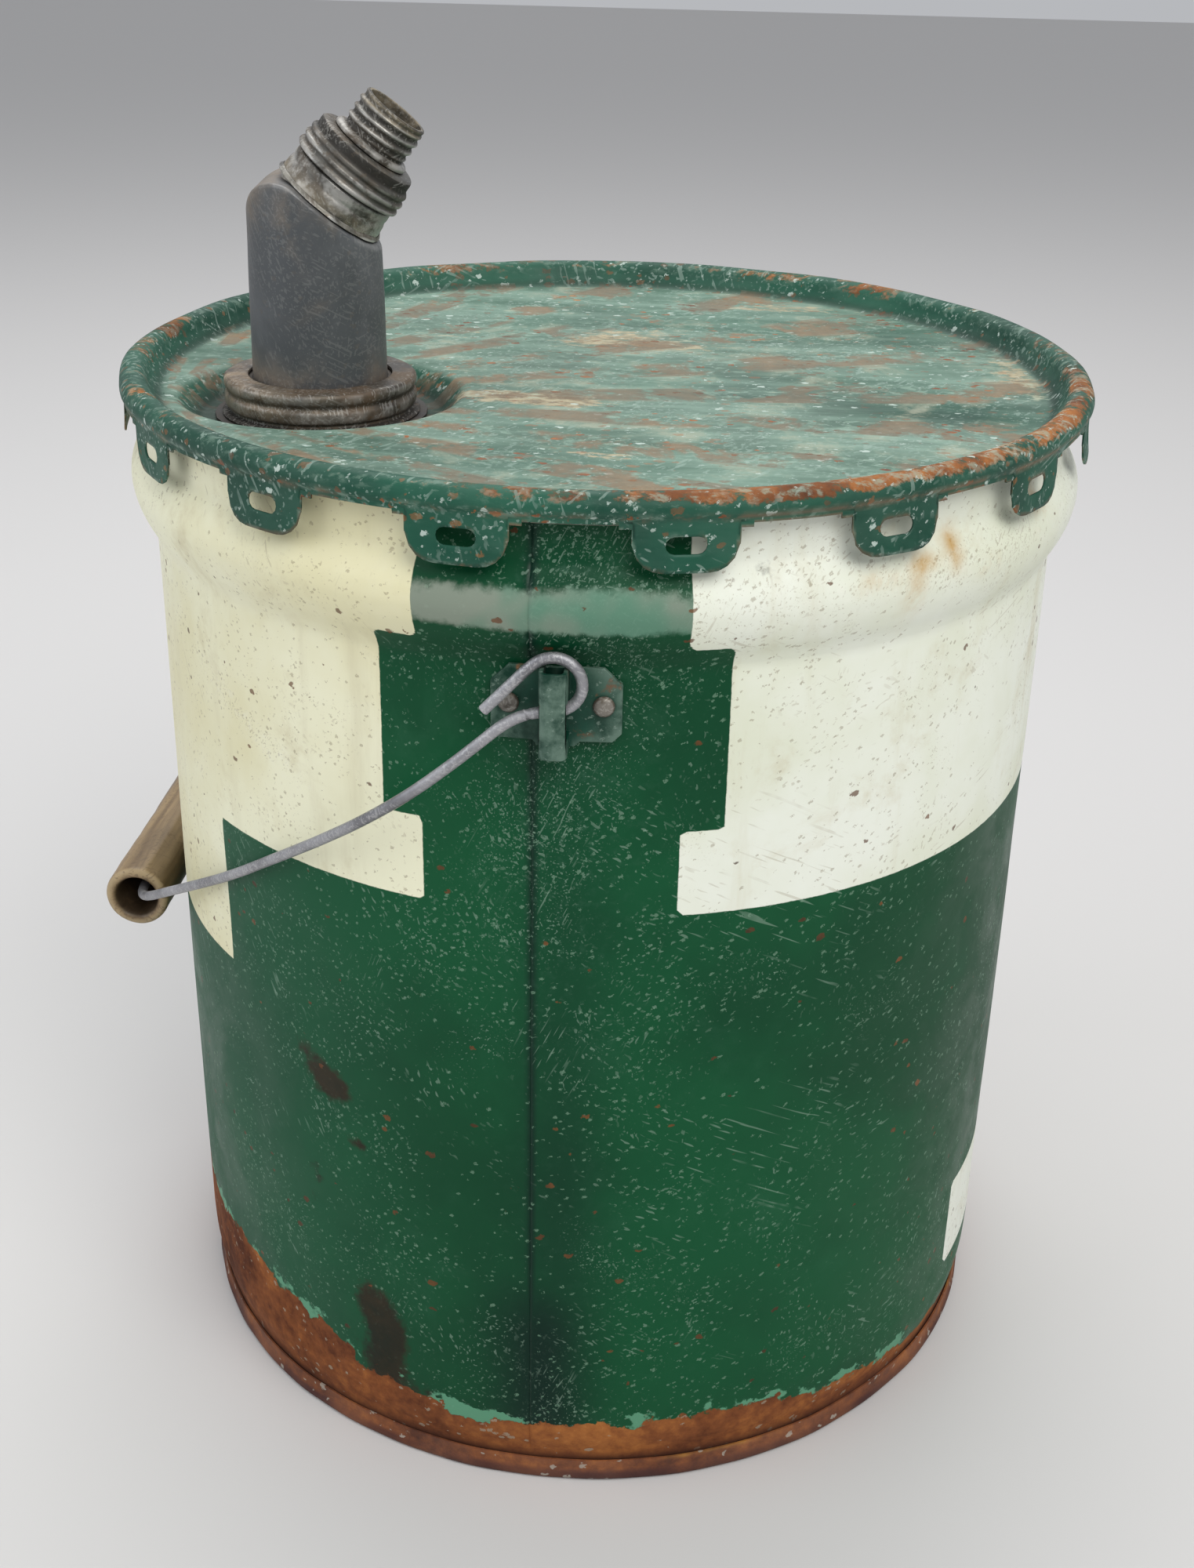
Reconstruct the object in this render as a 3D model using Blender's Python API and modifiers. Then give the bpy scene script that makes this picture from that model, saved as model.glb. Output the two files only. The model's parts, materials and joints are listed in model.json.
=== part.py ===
"""Open-head steel lubricant pail with a lug cover, a bail handle and a screw-on bent spout.

Metres, +Z up. The origin is on the pail's axis, on the floor. The two bail ears face -Y and +Y,
and the bail hangs down on the -X side. The spout leans towards +X.
"""

import math

import bmesh
import bpy
from mathutils import Matrix, Vector

MM = 0.001

# Shared stock and fits
SHEET = 0.6 * MM  # 24 gauge steel of body, bottom and cover
GAP = 0.3 * MM  # between pieces that touch
ROUND_STEPS = 48  # facets of every piece turned about the pail's axis
SPOUT_STEPS = 28  # facets of the pieces turned about the spout and its outlet

# Pail body
BODY_RADIUS = 145.5 * MM  # outside of the wall, under the bead
PAIL_HEIGHT = 338.25 * MM  # floor to the top of the body's rolled curl
BODY_TAPER = 1.0 * MM  # how much smaller the wall's radius is above the chime
NECK_STEP = 1.1 * MM  # how far the neck stands out from the wall
CURL_RADIUS = 2.75 * MM  # to the middle of the sheet
BEAD_RISE = 6.7 * MM  # crest of the swell outside the wall
BEAD_TOP_DROP = 17.8 * MM  # below the curl's top
BEAD_CREST_DROP = 30.2 * MM
BEAD_FOOT_DROP = 46.0 * MM

# Bottom head and its double seam
CHIME_INSET = 2.7 * MM  # chime's outside, inside the wall's radius
CHIME_HEIGHT = 8.0 * MM
CHIME_NECK_HEIGHT = 22.0 * MM  # where the wall starts to draw in above the seam
PANEL_RECESS = 2.8 * MM  # bottom panel above the floor

# Lug cover
RIM_PLAY = 1.2 * MM  # between the body's curl and the cover's skirt
PLUG_PLAY = 0.4 * MM  # between the cover's inner wall and the neck
RIM_HEADROOM = 2.95 * MM  # over the body's curl, for the gasket
PANEL_DROP = 8.5 * MM  # cover's panel under its rim
PLUG_SLOPE = 3.1 * MM  # how far the inner wall leans in on its way down
SKIRT_DEPTH = 8.2 * MM  # rim's top to the skirt's edge
LUG_COUNT = 16
LUG_START = 12.65  # degrees from -Y towards +X to the middle of the first lug
LUG_WIDTH = 28.0 * MM
LUG_LENGTH = 13.0 * MM
LUG_CORNER = 8.0 * MM
LUG_STEP = 3.5 * MM  # shoulder on each side of a lug's root
LUG_STEP_DEPTH = 1.2 * MM
LUG_SLOT_LENGTH = 11.0 * MM
LUG_SLOT_WIDTH = 4.8 * MM
LUG_SLOT_DROP = 5.6 * MM  # slot's middle below the skirt's edge
GASKET_HEIGHT = 1.7 * MM
GASKET_WIDTH = 3.8 * MM

# Well in the cover, and the threaded neck that carries the spout
WELL_EDGE = 5.1 * MM  # between the well and the cover's inner wall
WELL_MARGIN = 15.2 * MM  # well's radius outside the ring nut
WELL_SLOPE = 7.0 * MM
WELL_DEPTH = 7.7 * MM
SPOUT_BEARING = 199.0  # degrees from +X about the pail's axis
NECK_HEIGHT = 9.4 * MM  # over the well's floor
NECK_WALL = 1.4 * MM
NECK_LIP = 4.4 * MM  # how far the neck's top reaches in over its wall
FLANGE_THICKNESS = 1.0 * MM
WASHER_THICKNESS = 1.1 * MM

# Ring nut
NUT_HOLE_PLAY = 1.4 * MM  # round the spout
NUT_THREAD_PLAY = 0.4 * MM
NUT_WALL = 1.4 * MM
NUT_PLATE = 1.2 * MM
NUT_HEIGHT = 9.6 * MM
NUT_GROOVE = 0.8 * MM

# Spout
SPOUT_RADIUS = 20.8 * MM
SPOUT_WALL = 0.9 * MM
SPOUT_HEIGHT = 53.6 * MM  # flange's foot to the middle of the slanted face
SPOUT_LEAN = 38.0  # degrees of the outlet from upright
SPOUT_TURN = 4.6  # degrees of the outlet's direction from +X
SHOULDER_RADIUS = 8.6 * MM
OUTLET_EDGE = 3.2 * MM  # between the outlet's hole and the tube's side
OUTLET_INSET = 4.8 * MM  # outlet's radius less than the tube's
OUTLET_WALL = 0.8 * MM
OUTLET_LENGTH = 17.4 * MM
OUTLET_STEP = 1.4 * MM  # from the outlet's root down to its threaded end
OUTLET_STEP_AT = 11.0 * MM
SOLDER_WIDTH = 2.3 * MM

# Reducer cap and nozzle
CAP_PLAY = 0.4 * MM
CAP_WALL = 1.2 * MM
CAP_RIDGE = 1.6 * MM
CAP_START = 9.5 * MM  # skirt's edge above the slanted face
NOZZLE_RADIUS = 10.0 * MM
NOZZLE_WALL = 1.1 * MM
NOZZLE_LENGTH = 13.7 * MM  # above the cap
NOZZLE_RIDGE = 0.8 * MM
NOZZLE_RIDGE_STEP = 3.0 * MM
NOZZLE_COLLAR = 2.4 * MM

# Ears
EAR_WIDTH = 35.6 * MM
EAR_PLATE = 1.5 * MM
EAR_TOP = 2.7 * MM  # plate's top over the bail's axis
EAR_BOTTOM = 18.8 * MM  # plate's bottom under it
EAR_CHAMFER = 5.0 * MM
EAR_TAB = 6.5 * MM  # half width of the tab behind the loop's foot
EAR_TAB_DROP = 1.4 * MM
LOOP_HALF_WIDTH = 3.8 * MM
LOOP_WALL = 1.1 * MM
LOOP_PLAY = 1.9 * MM  # between the wire and the front of the loop
LOOP_CORNER = 2.2 * MM
LOOP_WINDOW_DROP = 15.5 * MM  # window's foot under the bail's axis
RIVET_SPACING = 25.8 * MM
RIVET_RADIUS = 1.6 * MM
RIVET_HEAD = 3.0 * MM
RIVET_RISE = 1.5 * MM

# Bail and grip
WIRE_RADIUS = 1.8 * MM
EYE_RADIUS = 8.0 * MM  # to the middle of the wire
EYE_STAND_OFF = 5.2 * MM  # wire's middle outside the ear's plate
EYE_SPLAY = 20.0 * MM  # cut end's distance from the bail's axis
EYE_SPLAY_ANGLE = 202.0  # degrees, seen from outside the front ear
EYE_SPLAY_OUT = 2.2 * MM  # how far the cut end leans out, to pass the bead as it swings
EYE_FOOT_OUT = 0.7 * MM  # the same where the arm leaves the eye
BAIL_REST = 40.5  # degrees below level
BAIL_MARGIN = 1.2 * MM  # wire's least distance from the rim that it swings over
GRIP_RADIUS = 11.0 * MM
GRIP_BORE = 7.0 * MM
GRIP_LENGTH = 90.0 * MM
GRIP_PLAY = 0.5 * MM  # between the grip and the wall that it rests on

# Heights and radii that follow
CURL_CENTRE_R = BODY_RADIUS + NECK_STEP - SHEET / 2 + CURL_RADIUS
CURL_OUTER = CURL_CENTRE_R + CURL_RADIUS + SHEET / 2
BEAD_RADIUS = BODY_RADIUS + BEAD_RISE
RIM_TOP = PAIL_HEIGHT + RIM_HEADROOM + SHEET
RIM_IN = BODY_RADIUS + NECK_STEP - SHEET - PLUG_PLAY - SHEET / 2  # middle of the inner wall's sheet
RIM_OUT = CURL_OUTER + RIM_PLAY + SHEET / 2  # middle of the skirt's sheet
RIM_RADIUS = RIM_OUT + SHEET / 2
SKIRT_EDGE = RIM_TOP - SKIRT_DEPTH
PANEL_TOP = RIM_TOP - PANEL_DROP
PANEL_RADIUS = RIM_IN - PLUG_SLOPE
NUT_HOLE = SPOUT_RADIUS + NUT_HOLE_PLAY
COLLAR_IN = NUT_HOLE + NECK_LIP
COLLAR_OUT = COLLAR_IN + NECK_WALL
NUT_IN = COLLAR_OUT + NUT_THREAD_PLAY
NUT_OUT = NUT_IN + NUT_WALL
WELL_RADIUS = NUT_OUT + WELL_MARGIN
SPOUT_DISTANCE = PANEL_RADIUS - WELL_EDGE - WELL_RADIUS
WELL_FLOOR = PANEL_TOP - WELL_DEPTH  # upper side of the floor
NECK_TOP = WELL_FLOOR + NECK_HEIGHT
FLANGE_FOOT = NECK_TOP + GAP + WASHER_THICKNESS + GAP
NUT_TOP = FLANGE_FOOT + FLANGE_THICKNESS + GAP + NUT_PLATE
OUTLET_RADIUS = SPOUT_RADIUS - OUTLET_INSET
LEAN = math.radians(SPOUT_LEAN)
OUTLET_OFFSET = SPOUT_RADIUS - OUTLET_EDGE - (OUTLET_RADIUS + GAP) * math.cos(LEAN)
OUTLET_Z = FLANGE_FOOT + SPOUT_HEIGHT
BAIL_Z = PAIL_HEIGHT - BEAD_FOOT_DROP - GAP - EAR_TOP
EAR_FACE = BODY_RADIUS + GAP + EAR_PLATE
WIRE_PLANE = EAR_FACE + EYE_STAND_OFF
REST = math.radians(180 + BAIL_REST)
BAIL_REACH = (BODY_RADIUS + GRIP_RADIUS + GRIP_PLAY) / math.cos(math.radians(BAIL_REST))

parts = None
cutters = None


def clear_scene():
    for item in list(bpy.data.objects):
        bpy.data.objects.remove(item, do_unlink=True)


def new_collection(name):
    collection = bpy.data.collections.new(name)
    bpy.context.scene.collection.children.link(collection)
    return collection


def material(name, colour, roughness, metallic):
    """A Principled finish of one colour."""
    made = bpy.data.materials.new(name)
    made.use_nodes = True
    shader = made.node_tree.nodes["Principled BSDF"]
    shader.inputs["Base Color"].default_value = (*colour, 1.0)
    shader.inputs["Roughness"].default_value = roughness
    shader.inputs["Metallic"].default_value = metallic
    return made


def empty(name, location, turn=(0.0, 0.0, 0.0), parent=None):
    """An axis that pieces are placed on."""
    made = bpy.data.objects.new(name, None)
    made.location = location
    made.rotation_euler = turn
    made.parent = parent
    made.empty_display_size = 10 * MM
    parts.objects.link(made)
    return made


def link(made, finish=None, parent=None):
    """Puts a finished piece in the parts, or a piece without a finish with the cutters."""
    (parts if finish else cutters).objects.link(made)
    if finish:
        made.data.materials.append(finish)
    else:
        made.hide_render = True
        made.display_type = "WIRE"
    made.parent = parent
    return made


def arc(centre, radius, start, end, steps):
    """Points on an arc, angles in degrees from the first axis towards the second."""
    points = []
    for i in range(steps + 1):
        angle = math.radians(start + (end - start) * i / steps)
        points.append((centre[0] + radius * math.cos(angle), centre[1] + radius * math.sin(angle)))
    return points


def thicken(path, wall=SHEET):
    """The closed outline of a sheet whose middle follows a path; it stays open on the axis."""
    left, right = [], []
    for i, (x, z) in enumerate(path):
        before = Vector(path[max(i - 1, 0)])
        after = Vector(path[min(i + 1, len(path) - 1)])
        here = Vector((x, z))
        one = (here - before).normalized() if i else (after - here).normalized()
        two = (after - here).normalized() if i < len(path) - 1 else one
        normal = Vector((-(one.y + two.y), one.x + two.x)).normalized()
        if x < 1e-9:
            normal = Vector((0.0, 1.0 if one.x > 0 else -1.0))
        reach = wall / 2 / max(normal.dot(Vector((-one.y, one.x))), 0.5)
        left.append(tuple(here + normal * reach))
        right.append(tuple(here - normal * reach))
    return left + right[::-1]


def turned(name, outline, steps, finish=None, parent=None):
    """A piece turned about its Z axis from an outline of (radius, height) points."""
    area = sum(
        a[0] * b[1] - b[0] * a[1] for a, b in zip(outline, outline[1:] + outline[:1], strict=True)
    )
    points = outline if area < 0 else outline[::-1]
    on_axis = [i for i, point in enumerate(points) if point[0] < 1e-9]
    if on_axis:
        start = on_axis[0] if len(on_axis) == 1 else next(
            i for i in on_axis if points[(i + 1) % len(points)][0] > 1e-9
        )
        points = points[start:] + points[:start]
    mesh = bpy.data.meshes.new(name)
    edges = [(i, i + 1) for i in range(len(points) - 1)]
    if not on_axis:
        edges.append((len(points) - 1, 0))
    mesh.from_pydata([(x, 0.0, z) for x, z in points], edges, [])
    made = link(bpy.data.objects.new(name, mesh), finish, parent)
    screw = made.modifiers.new("turn", "SCREW")
    screw.axis = "Z"
    screw.angle = math.tau
    screw.steps = steps
    screw.render_steps = steps
    screw.use_merge_vertices = True
    screw.merge_threshold = 1e-6
    return made


def prism(name, outlines, low, high, frame=Matrix(), parent=None, finish=None):
    """Flat outlines, the first one filled and the others its holes, made solid from low to high."""
    curve = bpy.data.curves.new(name, "CURVE")
    curve.dimensions = "2D"
    curve.fill_mode = "BOTH"
    curve.extrude = (high - low) / 2
    for outline in outlines:
        spline = curve.splines.new("POLY")
        spline.points.add(len(outline) - 1)
        for point, (x, y) in zip(spline.points, outline, strict=True):
            point.co = (x, y, 0.0, 1.0)
        spline.use_cyclic_u = True
    flat = bpy.data.objects.new(name, curve)
    cutters.objects.link(flat)
    mesh = bpy.data.meshes.new_from_object(flat)
    bpy.data.objects.remove(flat)
    tidy = bmesh.new()
    tidy.from_mesh(mesh)
    bmesh.ops.remove_doubles(tidy, verts=tidy.verts, dist=1e-6)
    bmesh.ops.recalc_face_normals(tidy, faces=tidy.faces)
    tidy.to_mesh(mesh)
    tidy.free()
    mesh.transform(frame @ Matrix.Translation((0.0, 0.0, (low + high) / 2)))
    return link(bpy.data.objects.new(name, mesh), finish, parent)


def combine(target, other, operation):
    boolean = target.modifiers.new(operation.lower(), "BOOLEAN")
    boolean.operation = operation
    boolean.solver = "EXACT"
    boolean.object = other
    return target


def finish_mesh(piece):
    """Fixes the modifiers' result as the piece's mesh, smooth but for its sharp edges."""
    graph = bpy.context.evaluated_depsgraph_get()
    mesh = bpy.data.meshes.new_from_object(piece.evaluated_get(graph), depsgraph=graph)
    piece.modifiers.clear()
    piece.data = mesh
    mesh.shade_smooth()
    mesh.set_sharp_from_angle(angle=math.radians(35))


def body_path():
    """Middle of the body's sheet, from the curl's free edge down to the bottom seam."""
    centre = (CURL_CENTRE_R, PAIL_HEIGHT - SHEET / 2 - CURL_RADIUS)
    path = arc(centre, CURL_RADIUS, 250, 540, 6)
    neck = path[-1][0]
    wall = BODY_RADIUS - SHEET / 2
    crest = BEAD_RADIUS - SHEET / 2
    top = PAIL_HEIGHT - BEAD_TOP_DROP
    middle = PAIL_HEIGHT - BEAD_CREST_DROP
    foot = PAIL_HEIGHT - BEAD_FOOT_DROP
    for base, edge, shares in ((neck, top, (0, 0.45, 1)), (wall, foot, (0.6, 0.3, 0))):
        for share in shares:
            swell = math.sin(share * math.pi / 2) ** 0.8
            path.append((base + (crest - base) * swell, edge + (middle - edge) * share))
    low = wall - BODY_TAPER
    seam = seam_radii()[1]
    draw = low - seam
    path.append((low, CHIME_NECK_HEIGHT))
    path.append((low - 0.3 * draw, CHIME_NECK_HEIGHT - 5 * MM))
    path.append((seam + 0.15 * draw, CHIME_HEIGHT + 5 * MM))
    path.append((seam, CHIME_HEIGHT + 2.5 * MM))
    path.append((seam, 4 * GAP))
    return path


def seam_radii():
    """Middles of the three sheets of the double seam: chuck wall, body, outside."""
    outside = BODY_RADIUS - CHIME_INSET - SHEET / 2
    return outside - 2 * (SHEET + GAP), outside - SHEET - GAP, outside


def make_body(finish):
    return turned("pail_body", thicken(body_path()), ROUND_STEPS, finish)


def make_bottom(finish):
    """Recessed panel whose edge turns down to the foot and up round the body's end."""
    chuck, _, outside = seam_radii()
    panel = PANEL_RECESS + SHEET / 2
    bend = 0.6 * MM
    path = [(0.0, panel), (chuck - 3 * bend, panel), (chuck - bend / 2, panel - bend)]
    path += [(chuck, SHEET / 2 + bend), (chuck + bend / 2, SHEET / 2)]
    path += [(outside - bend / 2, SHEET / 2), (outside, SHEET / 2 + bend), (outside, CHIME_HEIGHT)]
    return turned("bottom_head", thicken(path), ROUND_STEPS, finish)


def lug_outline():
    """One cover lug in the plane of the skirt, with its root above the skirt's edge."""
    half = LUG_WIDTH / 2
    tip = SKIRT_EDGE - LUG_LENGTH
    root = SKIRT_EDGE + 1.2 * MM
    step = SKIRT_EDGE - LUG_STEP_DEPTH
    outline = [(-half - LUG_STEP, root), (-half - LUG_STEP, step), (-half, step)]
    outline += arc((-half + LUG_CORNER, tip + LUG_CORNER), LUG_CORNER, 180, 270, 3)
    outline += arc((half - LUG_CORNER, tip + LUG_CORNER), LUG_CORNER, 270, 360, 3)
    return outline + [(half, step), (half + LUG_STEP, step), (half + LUG_STEP, root)]


def slot_outline():
    reach = (LUG_SLOT_LENGTH - LUG_SLOT_WIDTH) / 2
    z = SKIRT_EDGE - LUG_SLOT_DROP
    right = arc((reach, z), LUG_SLOT_WIDTH / 2, -90, 90, 3)
    return right + arc((-reach, z), LUG_SLOT_WIDTH / 2, 90, 270, 3)


def make_lugs():
    """All the lugs as pieces of one thin ring, in line with the cover's skirt."""
    joined = bmesh.new()
    face_out = Matrix.Rotation(math.pi / 2, 4, "X")
    for i in range(LUG_COUNT):
        turn = Matrix.Rotation(math.radians(LUG_START) + math.tau * i / LUG_COUNT, 4, "Z")
        one = prism("lug_blank", [lug_outline(), slot_outline()], RIM_IN, RIM_RADIUS + 8 * MM,
                    turn @ face_out)
        joined.from_mesh(one.data)
        bpy.data.objects.remove(one)
    mesh = bpy.data.meshes.new("lug_ring")
    joined.to_mesh(mesh)
    joined.free()
    ring = link(bpy.data.objects.new("lug_ring", mesh))
    low, high = SKIRT_EDGE - LUG_LENGTH - 2 * MM, SKIRT_EDGE + 2 * MM
    band = turned("lug_band", thicken([(RIM_OUT, low), (RIM_OUT, high)]), ROUND_STEPS)
    return combine(ring, band, "INTERSECT")


def make_lid(finish, spout_axis):
    """Cover: flat panel, sloping plug wall, rounded rim, skirt with lugs, and the spout's well."""
    panel = PANEL_TOP - SHEET / 2
    rim = (RIM_OUT - RIM_IN) / 2
    centre = ((RIM_IN + RIM_OUT) / 2, RIM_TOP - SHEET / 2 - rim)
    path = [(0.0, panel), (PANEL_RADIUS - 1.6 * MM, panel), (PANEL_RADIUS, panel + 0.6 * MM)]
    path += arc(centre, rim, 180, 0, 5) + [(RIM_OUT, SKIRT_EDGE)]
    lid = turned("lid", thicken(path), ROUND_STEPS, finish)
    hole = turned("well_hole", [(0.0, 2 * MM), (WELL_RADIUS, 2 * MM), (WELL_RADIUS, -3 * MM),
                                (0.0, -3 * MM)], SPOUT_STEPS, None, spout_axis)
    hole.location.z = panel
    floor = WELL_FLOOR - SHEET / 2
    dish_path = [(WELL_RADIUS + SHEET, panel), (WELL_RADIUS - SHEET, panel),
                 (WELL_RADIUS - WELL_SLOPE, floor), (tail_hole(), floor)]
    dish = turned("well_dish", thicken(dish_path), SPOUT_STEPS, None, spout_axis)
    combine(lid, hole, "DIFFERENCE")
    combine(lid, dish, "UNION")
    return combine(lid, make_lugs(), "UNION")


def tail_hole():
    """Radius of the hole in the well's floor, round the neck's swaged tail."""
    return (COLLAR_IN + COLLAR_OUT) / 2


def make_lid_gasket(finish):
    middle = CURL_CENTRE_R
    foot = PAIL_HEIGHT + GAP
    half, top, edge = GASKET_WIDTH / 2, foot + GASKET_HEIGHT, 0.5 * MM
    outline = [(middle - half + 2 * edge, top), (middle + half - 2 * edge, top),
               (middle + half, top - edge), (middle + half, foot), (middle - half, foot),
               (middle - half, top - edge)]
    return turned("lid_gasket", outline, ROUND_STEPS, finish)


def make_neck(finish, gasket_finish, spout_axis):
    """Threaded neck of the cover, swaged through the well's floor, and the washer under it."""
    hole = tail_hole()
    tail = hole - GAP
    inside = tail - NECK_WALL
    washer_foot = WELL_FLOOR + GAP
    flange_foot = washer_foot + WASHER_THICKNESS + GAP
    flange_top = flange_foot + FLANGE_THICKNESS
    flange = COLLAR_OUT + 5.4 * MM
    tail_top = WELL_FLOOR - SHEET - GAP
    tail_foot = tail_top - FLANGE_THICKNESS
    outline = [(NUT_HOLE + NECK_WALL, NECK_TOP), (COLLAR_OUT, NECK_TOP), (COLLAR_OUT, flange_top),
               (flange, flange_top), (flange, flange_foot), (tail, flange_foot), (tail, tail_top),
               (hole + 2.6 * MM, tail_top), (hole + 2.6 * MM, tail_foot), (inside, tail_foot),
               (inside, NECK_TOP - FLANGE_THICKNESS), (NUT_HOLE + NECK_WALL, NECK_TOP - FLANGE_THICKNESS)]
    turned("lid_neck", outline, SPOUT_STEPS, finish, spout_axis)
    washer("neck_gasket", hole, flange - GAP, washer_foot, WASHER_THICKNESS, gasket_finish, spout_axis)


def washer(name, inner, outer, foot, thickness, finish, axis, steps=SPOUT_STEPS):
    outline = [(inner, foot + thickness), (outer, foot + thickness), (outer, foot), (inner, foot)]
    return turned(name, outline, steps, finish, axis)


def make_ring_nut(finish, spout_axis):
    """Rolled nut: flat top round the spout, then two beads with a groove between them."""
    side, top, bottom = NUT_OUT, NUT_TOP, NUT_TOP - NUT_HEIGHT
    groove = side - NUT_GROOVE
    middle = (top + bottom) / 2 - 0.2 * MM
    outline = [(NUT_HOLE, top), (side - NUT_PLATE, top), (side, top - NUT_PLATE)]
    outline += [(side, middle + 1.3 * MM), (groove, middle + 0.5 * MM), (groove, middle - 0.5 * MM)]
    outline += [(side, middle - 1.3 * MM), (side, bottom + 1.0 * MM), (side - 0.5 * MM, bottom)]
    outline += [(NUT_IN, bottom), (NUT_IN, top - NUT_PLATE), (NUT_HOLE, top - NUT_PLATE)]
    return turned("ring_nut", outline, SPOUT_STEPS, finish, spout_axis)


def roof_cutter(name, inset, axis):
    """What lies over the spout's slanted face and its round shoulder, lowered by an inset."""
    radius = SPOUT_RADIUS - inset
    rounding = max(SHOULDER_RADIUS - inset, 1 * MM)
    slope = (math.cos(LEAN), -math.sin(LEAN))
    normal = (math.sin(LEAN), math.cos(LEAN))
    face = (OUTLET_OFFSET - inset * normal[0], OUTLET_Z - inset * normal[1])
    x = -radius + rounding
    # The rounding's centre is one rounding under the slanted line.
    along = (x - face[0] + rounding * normal[0]) / slope[0]
    z = face[1] + along * slope[1] - rounding * normal[1]
    far = 3 * SPOUT_RADIUS
    outline = [(-far, z)] + arc((x, z), rounding, 180, 90 - SPOUT_LEAN, 6)
    outline += [(far, face[1] + (far - face[0]) / slope[0] * slope[1]), (far, OUTLET_Z + far)]
    outline += [(-far, OUTLET_Z + far)]
    upright = Matrix.Rotation(math.pi / 2, 4, "X")
    return prism(name, [outline], -2 * SPOUT_RADIUS, 2 * SPOUT_RADIUS, upright, axis)


def make_spout(finish, lean_axis, outlet_axis):
    """Bent spout: flanged foot, straight tube, round shoulder and the slanted face."""
    flange = NUT_IN - 2 * GAP
    top = OUTLET_Z + SPOUT_RADIUS * 1.2
    inner = SPOUT_RADIUS - SPOUT_WALL
    shell = [(0.0, top), (SPOUT_RADIUS, top), (SPOUT_RADIUS, FLANGE_FOOT + FLANGE_THICKNESS),
             (flange, FLANGE_FOOT + FLANGE_THICKNESS), (flange, FLANGE_FOOT), (0.0, FLANGE_FOOT)]
    tube = turned("spout_tube", shell, SPOUT_STEPS, finish, lean_axis)
    combine(tube, roof_cutter("spout_roof", 0.0, lean_axis), "DIFFERENCE")
    core = turned("spout_core", [(0.0, top), (inner, top), (inner, FLANGE_FOOT - 1 * MM),
                                 (0.0, FLANGE_FOOT - 1 * MM)], SPOUT_STEPS, None, lean_axis)
    combine(core, roof_cutter("core_roof", SPOUT_WALL, lean_axis), "DIFFERENCE")
    combine(tube, core, "DIFFERENCE")
    bore = OUTLET_RADIUS + GAP
    hole = turned("outlet_hole", [(0.0, 8 * MM), (bore, 8 * MM), (bore, -4 * MM), (0.0, -4 * MM)],
                  SPOUT_STEPS, None, outlet_axis)
    return combine(tube, hole, "DIFFERENCE")


def make_outlet(finish, solder_finish, outlet_axis):
    """Short neck through the slanted face, and the solder round its root."""
    root, end = OUTLET_RADIUS, OUTLET_RADIUS - OUTLET_STEP
    at, half, low = OUTLET_STEP_AT, 0.5 * MM, -2 * MM
    outline = [(end, OUTLET_LENGTH), (end, at + half), (root, at - half), (root, low)]
    outline += [(root - OUTLET_WALL, low), (root - OUTLET_WALL, at - 1.5 * half)]
    outline += [(end - OUTLET_WALL, at + half), (end - OUTLET_WALL, OUTLET_LENGTH)]
    turned("spout_neck", outline, SPOUT_STEPS, finish, outlet_axis)
    inner = root + GAP
    rise = 0.9 * SOLDER_WIDTH
    solder = [(inner, rise), (inner + 0.25 * SOLDER_WIDTH, 0.7 * rise)]
    solder += [(inner + SOLDER_WIDTH, 2 * GAP), (inner + SOLDER_WIDTH, GAP), (inner, GAP)]
    turned("solder_fillet", solder, SPOUT_STEPS, solder_finish, outlet_axis)


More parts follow.
